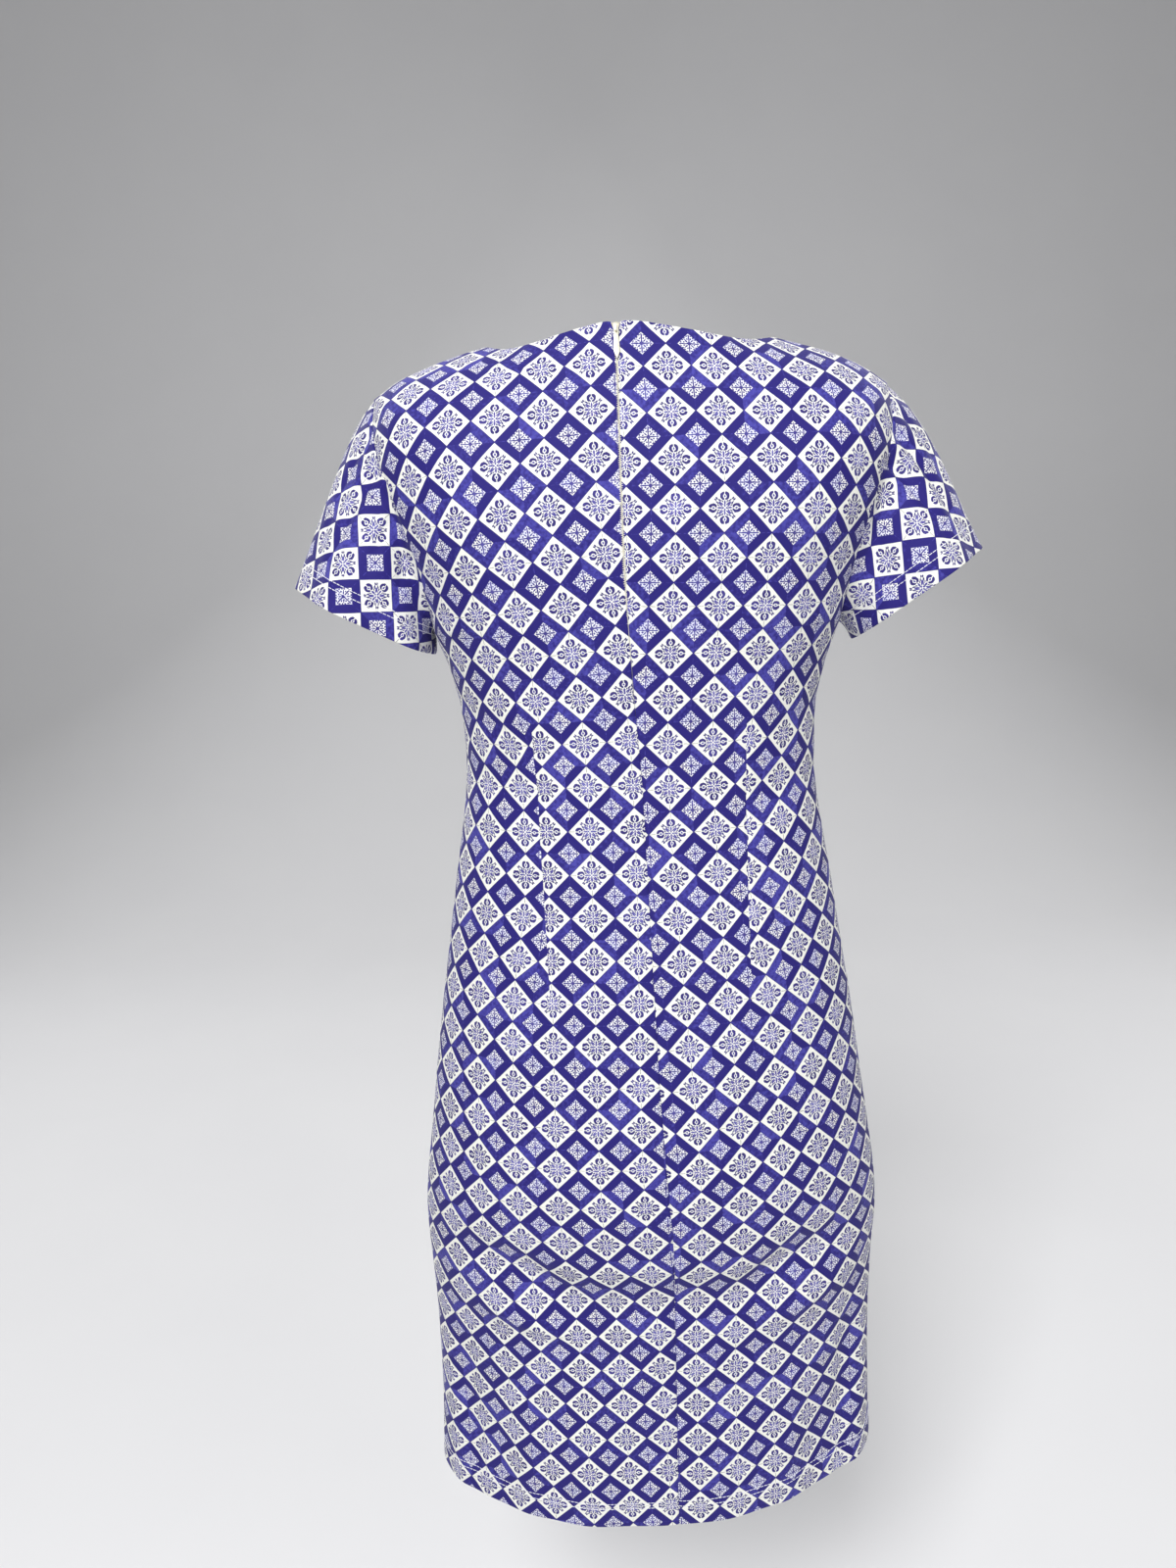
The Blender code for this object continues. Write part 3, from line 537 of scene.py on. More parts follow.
def run_lengths(points, axis):
    """Length along a grid from its first column (axis 1) or row (axis 0)."""
    steps = np.linalg.norm(np.diff(points, axis=axis), axis=-1)
    pad = [(0, 0)] * steps.ndim
    pad[axis] = (1, 0)
    return np.pad(np.cumsum(steps, axis=axis), pad)


def read_along(at, run, values):
    """Points given at some lengths along a line, read at others."""
    return np.stack([np.interp(at, run, values[:, axis]) for axis in range(3)], axis=-1)


def resample(coarse, rows_at, columns_at):
    """A grid read between its rows and columns, at fractional places."""
    row = np.clip(rows_at.astype(int), 0, coarse.shape[0] - 2)
    column = np.clip(columns_at.astype(int), 0, coarse.shape[1] - 2)
    down = (rows_at - row)[:, None, None]
    right = (columns_at - column)[None, :, None]
    upper = mix(coarse[row][:, column], coarse[row][:, column + 1], right)
    lower = mix(coarse[row + 1][:, column], coarse[row + 1][:, column + 1], right)
    return mix(upper, lower, down)


def toward_ends(count, crowd):
    """Shares from 0 to 1, closer together at both ends."""
    share = np.linspace(0.0, 1.0, count + 1)
    return share - crowd * np.sin(2.0 * math.pi * share) / (2.0 * math.pi)


# ---- flat patterns
def joined_lanes(lanes, shut):
    """An index for each point of each lane; lanes share their border where it is shut."""
    indices, count = [], 0
    for lane in lanes:
        index = np.full(lane.shape[:2], -1)
        if indices:
            index[shut, 0] = indices[-1][shut, -1]
        own = index < 0
        index[own] = count + np.arange(np.count_nonzero(own))
        count += np.count_nonzero(own)
        indices.append(index)
    return indices, count


def flat_cells(lane, right):
    """Each cell of a lane laid flat by itself: complex places round its middle."""
    corners = cells_of(lane).reshape(-1, 4, 3)
    corners = corners - corners.mean(axis=1, keepdims=True)
    across = unit(corners[:, 2] + corners[:, 3])
    down = corners[:, 1] + corners[:, 2]
    down = unit(down - across * np.sum(down * across, axis=-1, keepdims=True))
    return right * np.einsum("nka,na->nk", corners, across) \
        - 1j * np.einsum("nka,na->nk", corners, down)


def flatten(lanes, shut, middle, right):
    """Lays a piece flat with its darts open, its cells as rigid as they can be.

    The lanes lie between the piece's darts, which are shut in the rows named. The
    middle, a lane and a column, is the grain and ends upright. Each pass turns every
    cell to fit its corners, then places the corners to fit all cells.
    """
    indices, count = joined_lanes(lanes, shut)
    cells = np.concatenate([flat_cells(lane, right) for lane in lanes])
    corners = np.concatenate([cells_of(index).reshape(-1, 4) for index in indices])
    pull = np.eye(4) - 0.25
    whole = np.zeros((count, count))
    for one in range(4):
        for other in range(4):
            np.add.at(whole, (corners[:, one], corners[:, other]), pull[one, other])
    whole[0, 0] += 1.0
    whole = np.linalg.inv(whole)
    turned = cells
    for _ in range(FLATTEN_PASSES):
        wanted = [np.bincount(corners.ravel(), part.ravel(), count)
                  for part in (turned.real, turned.imag)]
        across, up = (whole @ np.stack(wanted, axis=-1)).T
        place = across + 1j * up
        turn = np.sum(cells.conj() * place[corners], axis=1, keepdims=True)
        turned = cells * turn / np.abs(turn)
    lane, column = middle
    grain = place[indices[lane][:, column]]
    away = grain - grain.mean()
    lean = math.atan(np.sum(away.real * away.imag) / np.sum(away.imag ** 2))
    place = (place - grain[0]) * np.exp(1j * lean)
    place = np.stack((place.real, place.imag), axis=-1)
    return [place[index] for index in indices]


def printed(name, flat):
    """Print coordinates, in tiles, of points on a flat pattern in metres."""
    turn, shift_u, shift_v = LAYS[name]
    angle = math.radians(turn)
    u = (flat[..., 0] + shift_u) / TILE
    v = (flat[..., 1] + shift_v) / TILE
    return np.stack((u * math.cos(angle) + v * math.sin(angle),
                     v * math.cos(angle) - u * math.sin(angle)), axis=-1)


def cut_size(flat):
    """Width, length and area of a flat pattern, in metres."""
    width, length = flat.reshape(-1, 2).max(axis=0) - flat.reshape(-1, 2).min(axis=0)
    one = flat[1:, 1:] - flat[:-1, :-1]
    two = flat[1:, :-1] - flat[:-1, 1:]
    area = 0.5 * np.abs(one[..., 0] * two[..., 1] - one[..., 1] * two[..., 0]).sum()
    return float(width), float(length), float(area)


# ---- objects
def linked(name, data):
    made = bpy.data.objects.new(name, data)
    bpy.context.scene.collection.objects.link(made)
    return made


def smooth_object(name, mesh, finish):
    mesh.shade_smooth()
    mesh.materials.append(MATERIALS[finish])
    return linked(name, mesh)


def mesh_object(name, points, faces, finish):
    mesh = bpy.data.meshes.new(name)
    mesh.from_pydata(points, [], faces)
    return smooth_object(name, mesh, finish)


def thicken(made, name, thick):
    """Gives a shell its thickness, inward from its right side."""
    wall = made.modifiers.new(name, "SOLIDIFY")
    wall.thickness = thick
    wall.offset = -1.0
    return wall


# ---- cloth pieces
def panel_borders(name, row):
    """Shares of the seams and darts that divide a panel into lanes."""
    ones = np.ones_like(row)
    top_x, top_z, bottom_x, bottom_z = DARTS[name]
    panel = panel_of(name)
    place = upto_one((centre_height(panel, row) - top_z) / (bottom_z - top_z))
    limit = DART_LIMIT * row_edge(panel, row)[0]
    dart = share_at(panel, row, np.clip(mix(top_x, bottom_x, place), -limit, limit))
    if name == "front":
        return [-ones, -dart, dart, ones]
    return [seam_share(row), dart, -ones if name == "back_left" else ones]


def dart_strength(name, row):
    """How wide the waist dart is at each row, from 0 at its tips to 1."""
    _, top_z, _, bottom_z = DARTS[name]
    place = (centre_height(panel_of(name), row) - top_z) / (bottom_z - top_z)
    return np.sin(math.pi * upto_one(place))


def ripple(place, seed):
    """Uneven ripples along a seam, from -1 to 1."""
    return (np.sin(place * 690.0 + seed) * np.sin(place * 157.0 + 2.3 * seed)
            + 0.5 * np.sin(place * 1130.0 + 1.7 * seed)) / 1.5


def sink_seam(points, out, column, kind, strength=1.0):
    """Sinks a line of sewing into a grid, along one of its columns."""
    depth, width, seed = SEAMS[kind]
    run = run_lengths(points, 1)
    away = np.abs(run - run[:, column:column + 1])
    along = run_lengths(points, 0)[:, column:column + 1]
    sunk = depth * np.exp(-(away / width) ** 2)
    drawn = PUCKER * ripple(along, seed) * np.exp(-away / PUCKER_REACH)
    return points - out * ((sunk + drawn) * strength)[..., None]


def part_zip(points, side):
    """Parts the two edges of the back at the neck, and slightly along the coil."""
    across = run_lengths(points, 1)
    down = run_lengths(points, 0)[:, :1]
    notch = NOTCH_HALF * upto_one(1.0 - down / NOTCH_DEPTH) ** NOTCH_EASE
    slit = SLIT_HALF * upto_one((SLIT_LENGTH - down) / SLIT_FADE)
    reach = NOTCH_REACH * np.exp(-down / NOTCH_DEPTH) + SLIT_REACH
    points = points.copy()
    points[..., 0] += side * (notch + slit) * np.exp(-(across / reach) ** 2)
    return points


def before_end(points, values, reach):
    """Values at a distance back from the last row, along each column."""
    run = run_lengths(points[::-1], 0)
    return np.array([read_along(reach, run[:, column], values[::-1, column])
                     for column in range(points.shape[1])])


def fold_under(points, out, flat, owner, depth):
    """A grid with cloth added past its last row, folded over and laid inside.

    owner gives the column of points that each column of the flat pattern is for.
    """
    step = points[-1] - points[-2]
    down = unit(step)
    flat_down = (flat[-1] - flat[-2]) / np.linalg.norm(step, axis=-1)[owner][:, None]
    rows, flats = [], []
    for turn in np.linspace(0.0, math.pi, TURN_STEPS + 1)[1:]:
        rows.append(points[-1] - out[-1] * (TURN_RADIUS * (1.0 - math.cos(turn)))
                    + down * (TURN_RADIUS * math.sin(turn)))
        flats.append(flat[-1] + flat_down * (TURN_RADIUS * turn))
    for reach in np.linspace(0.0, depth, TURNED_ROWS + 1)[1:]:
        way = unit(before_end(points, out, reach))
        rows.append(before_end(points, points, reach) - way * (2.0 * TURN_RADIUS))
        flats.append(flat[-1] + flat_down * (math.pi * TURN_RADIUS + reach))
    return (np.concatenate((points, rows)), np.concatenate((out, [out[-1]] * len(rows))),
            np.concatenate((flat, flats)))


def cloth_object(name, points, prints, owner, out, closed):
    """A piece of cloth with its print coordinates, its right side facing out.

    out is the way out at the middle of the grid. A closed piece is a tube, whose
    last column lies on its first.
    """
    rows, columns = points.shape[:2]
    kept = columns - 1 if closed else columns
    index = np.arange(rows * kept).reshape(rows, kept)
    corners = cells_of(index[:, np.arange(columns) % kept])
    places = cells_of(np.arange(rows * len(owner)).reshape(rows, -1))[:, np.diff(owner) != 0]
    middle = (rows // 2, columns // 2)
    down = points[middle[0] + 1, middle[1]] - points[middle]
    right = points[middle[0], middle[1] + 1] - points[middle]
    if np.dot(np.cross(down, right), out) < 0.0:
        corners, places = corners[..., ::-1], places[..., ::-1]
    made = mesh_object(name + "_cloth", points[:, :kept].reshape(-1, 3).tolist(),
                       corners.reshape(-1, 4).tolist(), "print")
    made.data.materials.append(MATERIALS["reverse"])
    layer = made.data.uv_layers.new(name="print")
    spots = prints.reshape(-1, 2)[places.ravel()]
    layer.uv.foreach_set("vector", spots.astype(np.float32).ravel())
    wall = thicken(made, "cloth", CLOTH_THICK)
    wall.material_offset = 1
    wall.material_offset_rim = 0
    return made


def finished_piece(name, points, out, flat, owner, stitches, hem, neck=0.0, closed=False):
    """A piece with its edges turned in, its hem stitches' lines and its cut."""
    lines = [(before_end(points, points, reach), before_end(points, out, reach))
             for reach in stitches]
    centre = out[len(out) // 2, out.shape[1] // 2]
    if neck > 0.0:
        points, out, flat = (part[::-1] for part in (points, out, flat))
        points, out, flat = fold_under(points, out, flat, owner, neck)
        points, out, flat = (part[::-1] for part in (points, out, flat))
    points, _, flat = fold_under(points, out, flat, owner, hem)
    made = cloth_object(name, points, printed(name, flat), owner, centre, closed)
    return made, lines, cut_size(flat)


def panel_flat(name, rows, counts):
    """The flat pattern of a panel, read at its rows and columns."""
    whole = np.arange(HEM_ROW + 1.0)
    even = np.linspace(0.0, 1.0, FLAT_COLUMNS + 1)
    borders = panel_borders(name, whole)
    lanes = [surface(panel_of(name), whole[:, None], mix(start[:, None], end[:, None], even))[0]
             for start, end in zip(borders, borders[1:])]
    strength = dart_strength(name, whole)
    middle = (1, FLAT_COLUMNS // 2) if name == "front" else (0, 0)
    flats = flatten(lanes, strength < DART_SHUT, middle, 1.0 if name == "back_right" else -1.0)
    taken = DART_TAKES[name] * strength ** DART_FULLNESS
    grain_at = flats[middle[0]][:, middle[1], 0].mean()
    for lane, flat in enumerate(flats):
        if lane != middle[0]:
            flat[..., 0] += np.sign(flat[..., 0].mean() - grain_at) * taken[:, None]
    return np.concatenate([resample(flat, rows, toward_ends(count, COLUMN_CROWD) * FLAT_COLUMNS)
                           for flat, count in zip(flats, counts)], axis=1)


def make_panel(name):
    """One panel of the body, its hem stitches' lines and its cut."""
    panel = panel_of(name)
    rows = np.concatenate([np.linspace(start, end, count, endpoint=False)
                           for start, end, count in ROW_SPREAD] + [(float(HEM_ROW),)])
    counts = PANEL_COLUMNS[panel]
    marks = np.cumsum((0, *counts))      # columns of the seams and darts
    borders = panel_borders(name, rows)
    lanes = [mix(start[:, None], end[:, None], toward_ends(count, COLUMN_CROWD))
             for start, end, count in zip(borders, borders[1:], counts)]
    shares = np.concatenate(lanes[:1] + [lane[:, 1:] for lane in lanes[1:]], axis=1)
    owner = np.concatenate([np.arange(start, end + 1) for start, end in zip(marks, marks[1:])])
    points, out = surface(panel, rows[:, None], shares)

    at_side = np.interp(rows, (TIP_ROW - SEAM_FADE, TIP_ROW, UNDERARM_ROW, UNDERARM_ROW + SEAM_FADE),
                        (1.0, 0.0, 0.0, 1.0))[:, None]
    for column in marks[-1:] if panel == "back" else marks[[0, -1]]:
        points = sink_seam(points, out, column, "side", at_side)
    if panel == "back":
        points = sink_seam(points, out, 0, "back")
        points = part_zip(points, 1.0 if name == "back_right" else -1.0)
    for column in marks[1:-1]:
        points = sink_seam(points, out, column, "dart", dart_strength(name, rows)[:, None])
    return finished_piece(name, points, out, panel_flat(name, rows, counts), owner,
                          BODY_STITCHES, BODY_HEM, NECK_TURN)


# ---- sleeves
def round_armhole(values, place):
    """Values given round the armhole, read smoothly at other places round it."""
    index = np.floor(place).astype(int)
    share = (place - index)[:, None]
    before, start, end, after = (values[(index + step) % SLEEVE_POINTS]
                                 for step in (-1, 0, 1, 2))
    return (start + 0.5 * share * (end - before
            + share * (2.0 * before - 5.0 * start + 4.0 * end - after
                       + share * (3.0 * (start - end) + after - before))))


def armhole_point(side, place, share=1.0):
    """Points on, or near, the armhole edge. Place 0 is the tip, 13 the underarm."""
    place = np.mod(place, SLEEVE_POINTS)
    row = TIP_ROW + np.minimum(place, SLEEVE_POINTS - place)
    behind = bare("back", row, side * share)
    ahead = bare("front", row, side * share)
    return np.where((place <= ARMHOLE_ROWS)[:, None], behind, ahead)


def armhole_ways(side):
    """The way in which the panels' cloth runs out across each armhole point."""
    place = np.arange(float(SLEEVE_POINTS))
    along = armhole_point(side, place + 1.0) - armhole_point(side, place - 1.0)
    inward = armhole_point(side, place, NEAR_EDGE) - armhole_point(side, place)
    share = np.sum(inward * along, axis=-1) / np.sum(along * along, axis=-1)
    return -unit(inward - along * share[:, None])


def hump(degrees, place, width):
    """A soft hump at a place round the sleeve."""
    away = (degrees - place + 180.0) % 360.0 - 180.0
    return np.exp(-(away / width) ** 2)


def sleeve_height(name, share, degrees, reach):
    """How far folds, tucks and the seam lift the cloth of a sleeve."""
    run = share * reach
    near = run / HOLLOW_REACH
    height = ARMHOLE_RIDGE * (1.0 - np.exp(-run / RIDGE_RISE)) * np.exp(-run / RIDGE_FALL)
    for place, depth, width in SLEEVE_FOLDS:
        height = height + depth * hump(degrees, place, width) * share ** FOLD_EASE
    for place, drift, depth, width, end in TUCKS[name]:
        fade = upto_one(1.0 - share / end) * upto_one(share / TUCK_START)
        height = height + depth * fade * hump(degrees, place + drift * share, width)
    for place, depth, width in HOLLOWS[name]:
        height = height + depth * near * np.exp(1.0 - near) * hump(degrees, place, width)
    round_hole = np.sin(np.radians(degrees)) * ARMHOLE_ROUND
    drawn = PUCKER * ripple(round_hole, ARMHOLE_SEED) * np.exp(-run / PUCKER_REACH)
    return height + drawn * (share > 0.0)


def sleeve_surface(name, share, place):
    """Points of a sleeve: share runs from armhole to hem, place round the armhole."""
    side, tilt, lift, cap, hem_x, hem_y, hem_z = SLEEVES[name]
    lean, raised = math.radians(tilt), math.radians(lift)
    outward = np.array((side * math.cos(lean), 0.0, math.sin(lean)))
    down = np.array((side * math.sin(lean), 0.0, -math.cos(lean)))
    backward = np.array((0.0, -math.cos(raised), 0.0)) - down * math.sin(raised)
    centre = np.array((side * hem_x, hem_y, hem_z))
    turn = 2.0 * math.pi * place / SLEEVE_POINTS
    across, deep = np.cos(turn)[:, None], np.sin(turn)[:, None]
    ring_way = outward * across + backward * deep
    top = armhole_point(side, place)
    end = centre + outward * (HEM_ACROSS * across) + backward * (HEM_DEPTH * deep)
    reach = np.linalg.norm(end - top, axis=-1, keepdims=True)
    leave = unit(round_armhole(armhole_ways(side), place))
    mirror = np.array((side, 1.0, 1.0))
    leave = mix(leave, mirror * SHOULDER_WAY, np.maximum(across, 0.0) ** 3)
    leave = unit(mix(leave, mirror * UNDERARM_WAY,
                     np.minimum(1.0, UNDERARM_HOLD * (0.5 - 0.5 * across))))
    share = share[:, None, None]
    ease = share * share * (3.0 - 2.0 * share)
    points = (mix(top, end, ease) + leave * reach * cap * (share * (1.0 - share) ** 2)
              - down * reach * HANG_REACH * (share * share * (1.0 - share)))
    height = sleeve_height(name, share[..., 0], np.degrees(turn)[None, :], reach[:, 0])
    points = points + ring_way * height[..., None]
    around = np.gradient(points, axis=1)
    around[:, 0] = around[:, -1] = (points[:, 1] - points[:, -2]) / 2.0
    out = unit(np.cross(around, np.gradient(points, axis=0)))
    return points, out * np.sign(np.sum(out * ring_way, axis=(-1, -2)).mean())


def make_sleeve(name):
    """One sleeve, its hem stitches' lines and its cut."""
    share = toward_ends(SLEEVE_RINGS, SLEEVE_CROWD)
    half = float(ARMHOLE_ROWS)
    place = np.linspace(-half, half, SLEEVE_COLUMNS + 1)
    points, out = sleeve_surface(name, share, place)
    coarse, _ = sleeve_surface(name, np.linspace(0.0, 1.0, FLAT_COLUMNS + 1),
                               np.linspace(-half, half, FLAT_STEPS * SLEEVE_POINTS + 1))
    nothing_shut = np.zeros(FLAT_COLUMNS + 1, dtype=bool)
    grain = (0, FLAT_STEPS * ARMHOLE_ROWS)
    flat = flatten([coarse], nothing_shut, grain, -float(SLEEVES[name][0]))[0]
    flat = resample(flat, share * FLAT_COLUMNS, (place + half) * FLAT_STEPS)
    return finished_piece(name, points, out, flat, np.arange(SLEEVE_COLUMNS + 1),
                          SLEEVE_STITCHES, SLEEVE_HEM, closed=True)


# ---- sewing thread
def stitch_form():
    """Points and faces of one stitch, of length 1 along X, 1 radius thick."""
    turns = [2.0 * math.pi * corner / STITCH_SIDES for corner in range(STITCH_SIDES)]
    points = [(along, radius * math.cos(turn), height + radius * math.sin(turn))
              for along, height, radius in STITCH_SECTIONS for turn in turns]
    index = np.arange(len(points)).reshape(-1, STITCH_SIDES)
    walls = cells_of(index[:, np.arange(STITCH_SIDES + 1) % STITCH_SIDES]).reshape(-1, 4)
    return np.array(points), walls.tolist() + [index[0, ::-1].tolist(), index[-1].tolist()]


def stitch_runs(line, out):
    """Start, end and way out of each stitch of a row, at even steps along a line."""
    run = run_lengths(line, 0)
    count = int(run[-1] / STITCH_STEP)
    start = (np.arange(count) + 0.5 * (1.0 - STITCH_SHARE)) * (run[-1] / count)
    end = start + STITCH_SHARE * run[-1] / count
    return zip(read_along(start, run, line), read_along(end, run, line),
               unit(read_along(start, run, out)))


def thread_pieces(name, runs, radius, finish):
    """Short round pieces of thread or coil, each given by start, end and way out."""
    form, form_faces = stitch_form()
    points, faces = [], []
    for start, end, out in runs:
        across = np.cross(out, unit(end - start))
        base = len(points) * len(form)
        faces += [[base + index for index in face] for face in form_faces]
        points.append(start + form @ np.stack((end - start, across * radius, out * radius)))
    return mesh_object(name, np.concatenate(points).tolist(), faces, finish)


# ---- zip
def seam_line():
    """Points of the centre back seam, top to bottom, on the outer face of the cloth."""
    rows = np.linspace(0.0, HEM_ROW, SEAM_STEPS)
    return surface("back", rows[:, None], seam_share(rows)[:, None])[0][:, 0]


def seam_at(line, height):
    return read_along(-height, -line[:, 2], line)


def behind_seam(line, depth):
    """The part of the seam that holds the zip, moved in from the cloth's face."""
    kept = np.arange(0.0, ZIP_LENGTH, COIL_PITCH)
    points = read_along(kept, run_lengths(line, 0), line)
    down = np.gradient(points, axis=0)
    out = unit(np.stack((np.zeros(len(kept)), down[:, 2], -down[:, 1]), axis=-1))
    closed = upto_one(1.0 - (SLIT_LENGTH - kept) / SLIT_FADE)
    return points - out * (depth + CLOSED_SINK * closed)[:, None], out


def make_coil(line):
    """The closed coil: short loops that reach in turn from one tape over the other."""
    points, out = behind_seam(line, COIL_DEPTH)
    sideways = np.zeros_like(points)
    sideways[:, 0] = np.where(np.arange(len(points)) % 2, 1.0, -1.0)
    runs = zip(points - sideways * COIL_REACH, points + sideways * COIL_OVERLAP, out)
    return thread_pieces("zip_coil", runs, COIL_RADIUS, "coil")


def make_tapes(line):
    """The two woven tapes behind the seam."""
    points = behind_seam(line, TAPE_DEPTH)[0][::TAPE_STRIDE]
    offsets = np.zeros((TAPE_COLUMNS + 1, 3))
    offsets[:, 0] = np.linspace(TAPE_INNER, TAPE_OUTER, TAPE_COLUMNS + 1)
    verts = np.stack([points[:, None] + side * offsets for side in (-1.0, 1.0)])
    index = np.arange(verts[0].size // 3).reshape(len(points), -1)
    cells = cells_of(index).reshape(-1, 4)
    faces = np.concatenate((cells[:, ::-1], cells + index.size))
    made = mesh_object("zip_tapes", verts.reshape(-1, 3).tolist(), faces.tolist(), "tape")
    thicken(made, "tape", TAPE_THICK)
    return made


def plate(name, outlines, thick, edge):
    """A flat enamelled piece with rounded edges, cut from outlines in its own XY plane."""
    curve = bpy.data.curves.new(name, "CURVE")
    curve.dimensions = "2D"
    curve.fill_mode = "BOTH"
    curve.extrude = thick / 2.0 - edge
    curve.bevel_depth = edge
    curve.bevel_resolution = 2
    curve.offset = -edge
    for outline in outlines:
        spline = curve.splines.new("POLY")
        spline.points.add(len(outline) - 1)
        for point, (x, y) in zip(spline.points, outline):
            point.co = (x, y, 0.0, 1.0)
        spline.use_cyclic_u = True
    guide = linked(name + "_guide", curve)
    bpy.context.view_layer.update()
    graph = bpy.context.evaluated_depsgraph_get()
    mesh = bpy.data.meshes.new_from_object(guide.evaluated_get(graph))
    bpy.data.objects.remove(guide)
    shape = bmesh.new()
    shape.from_mesh(mesh)
    bmesh.ops.remove_doubles(shape, verts=shape.verts, dist=MERGE)
    bmesh.ops.recalc_face_normals(shape, faces=shape.faces)
    shape.to_mesh(mesh)
    shape.free()
    made = smooth_object(name, mesh, "enamel")
    mesh.set_sharp_from_angle(angle=math.radians(SHARP_ANGLE))
    return made


def arc(centre_x, centre_y, radius, start, end, steps):
    """Points of an arc, its angles in degrees."""
    turns = [math.radians(start + (end - start) * step / steps) for step in range(steps + 1)]
    return [(centre_x + radius * math.cos(turn), centre_y + radius * math.sin(turn))
            for turn in turns]


def round_box(low_x, high_x, low_y, high_y, radius):
    """A rectangle's outline with round corners, anticlockwise."""
    left, right = low_x + radius, high_x - radius
    low, high = low_y + radius, high_y - radius
    corners = ((right, high), (left, high), (left, low), (right, low))
    return [point for index, (x, y) in enumerate(corners)
            for point in arc(x, y, radius, 90 * index, 90 * (index + 1), 4)]


def both_sides(table, steps):
    """An outline, mirrored about x = 0, from a table of distance down and half-width."""
    down = np.linspace(table[0][0], table[-1][0], steps + 1)
    right = [(float(x), float(-y)) for x, y in zip(smooth(table, down, 1), down)]
    return right + [(-x, y) for x, y in reversed(right) if x > MERGE]


def make_slider(line):
    """The slider: a plate with broad shoulders, and the bridge on it."""
    start = seam_at(line, SLIDER_TOP_Z)
    down = Vector(seam_at(line, SLIDER_TOP_Z - SLIDER_LENGTH) - start).normalized()
    out = Vector((0.0, down.z, -down.y)).normalized()
    turn = Matrix.Rotation(math.atan2(-down.z, -down.y), 4, "X")
    place = Matrix.Translation(Vector(start) + out * REST_CLEARANCE) @ turn
    body = plate("slider_body", [both_sides(SLIDER_SHAPE, 16)], SLIDER_THICK, SLIDER_EDGE)
    body.matrix_world = place @ Matrix.Translation((0.0, 0.0, SLIDER_THICK / 2.0))

    head = -(SLIDER_LENGTH - BRIDGE_LENGTH) / 2.0
    foot = head - BRIDGE_LENGTH
    crown = SLIDER_THICK + BRIDGE_GAP + BRIDGE_BAR
    sunk = SLIDER_THICK / 2.0
    outer = round_box(foot, head, sunk, crown, BRIDGE_ROUND)
    inner = round_box(foot + BRIDGE_BAR, head - BRIDGE_BAR, sunk + BRIDGE_BAR,
                      crown - BRIDGE_BAR, BRIDGE_ROUND / 2.0)
    bridge = plate("slider_bridge", [outer, inner], BRIDGE_WIDTH, BRIDGE_EDGE)
    stand_up = Matrix(((0.0, 0.0, 1.0), (1.0, 0.0, 0.0), (0.0, 1.0, 0.0))).to_4x4()
    bridge.matrix_world = place @ stand_up
    return body, bridge, out


def make_pull(line, out):
    """The teardrop pull tab, hanging from the bridge with its point near the cloth."""
    hinge = Vector(frame["joints"][0]["pos_m"])
    below = Vector(seam_at(line, hinge.z - PULL_LENGTH))
    down = below + out * (REST_CLEARANCE + PULL_THICK) - hinge
    eye = round_box(-EYE_WIDTH / 2.0, EYE_WIDTH / 2.0, -EYE_BAR / 2.0 - EYE_LENGTH,
                    -EYE_BAR / 2.0, EYE_ROUND)
    made = plate("pull_tab", [both_sides(PULL_SHAPE, 40), eye], PULL_THICK, PULL_EDGE)
    made.location = hinge
    made.rotation_euler = (math.atan2(-down.z, -down.y), 0.0, 0.0)
    return made


# ---- materials
def add_node(tree, kind, values=(), **settings):
    """A node; each of its values is a wire, another node's socket, a colour or a number."""
    node = tree.nodes.new("ShaderNode" + kind)
    for setting, choice in settings.items():
        setattr(node, setting, choice)
    for key, value in dict(values).items():
        socket = node.inputs[key]
        if isinstance(value, Wire):
            tree.links.new(value.socket, socket)
        elif isinstance(value, bpy.types.NodeSocket):
            tree.links.new(value, socket)
        else:
            socket.default_value = (*value, 1.0) if socket.type == "RGBA" else value
    return node


class Wire:
    """A number that runs through a material's nodes, with arithmetic."""

    def __init__(self, socket):
        self.socket = socket

    def through(self, operation, *others):
        values = enumerate((self, *others))
        node = add_node(self.socket.id_data, "Math", values, operation=operation)
        return Wire(node.outputs[0])

    def __add__(self, other):
        return self.through("ADD", other)

    def __sub__(self, other):
        return self.through("SUBTRACT", other)

    def __mul__(self, other):
        return self.through("MULTIPLY", other)

    def __abs__(self):
        return self.through("ABSOLUTE")

    def least(self, other):
        return self.through("MINIMUM", other)

    def most(self, other):
        return self.through("MAXIMUM", other)

    def fade(self, start, end):
        """0 before start, 1 after end, with a soft step between them."""
        values = {"Value": self, "From Min": start, "From Max": end}
        node = add_node(self.socket.id_data, "MapRange", values, interpolation_type="SMOOTHSTEP")
        return Wire(node.outputs["Result"])

    def drop(self, start, end):
        """1 before start, 0 after end."""
        return self.fade(start, end) * -1.0 + 1.0

    def past(self, edge):
        """0 before an edge, 1 after it, as softly as the print's edges."""
        return self.fade(edge - EDGE_SOFT, edge + EDGE_SOFT)


def radius_from(x, y, centre_x, centre_y, radius_x, radius_y, lean=0.0):
    """Distance from a centre, in radii of an ellipse that leans by some degrees."""
    cos, sin = math.cos(math.radians(lean)), math.sin(math.radians(lean))
    from_x, from_y = x - centre_x, y - centre_y
    across = from_x * (cos / radius_x) + from_y * (sin / radius_x)
    along = from_y * (cos / radius_y) - from_x * (sin / radius_y)
    return (across * across + along * along).through("SQRT")


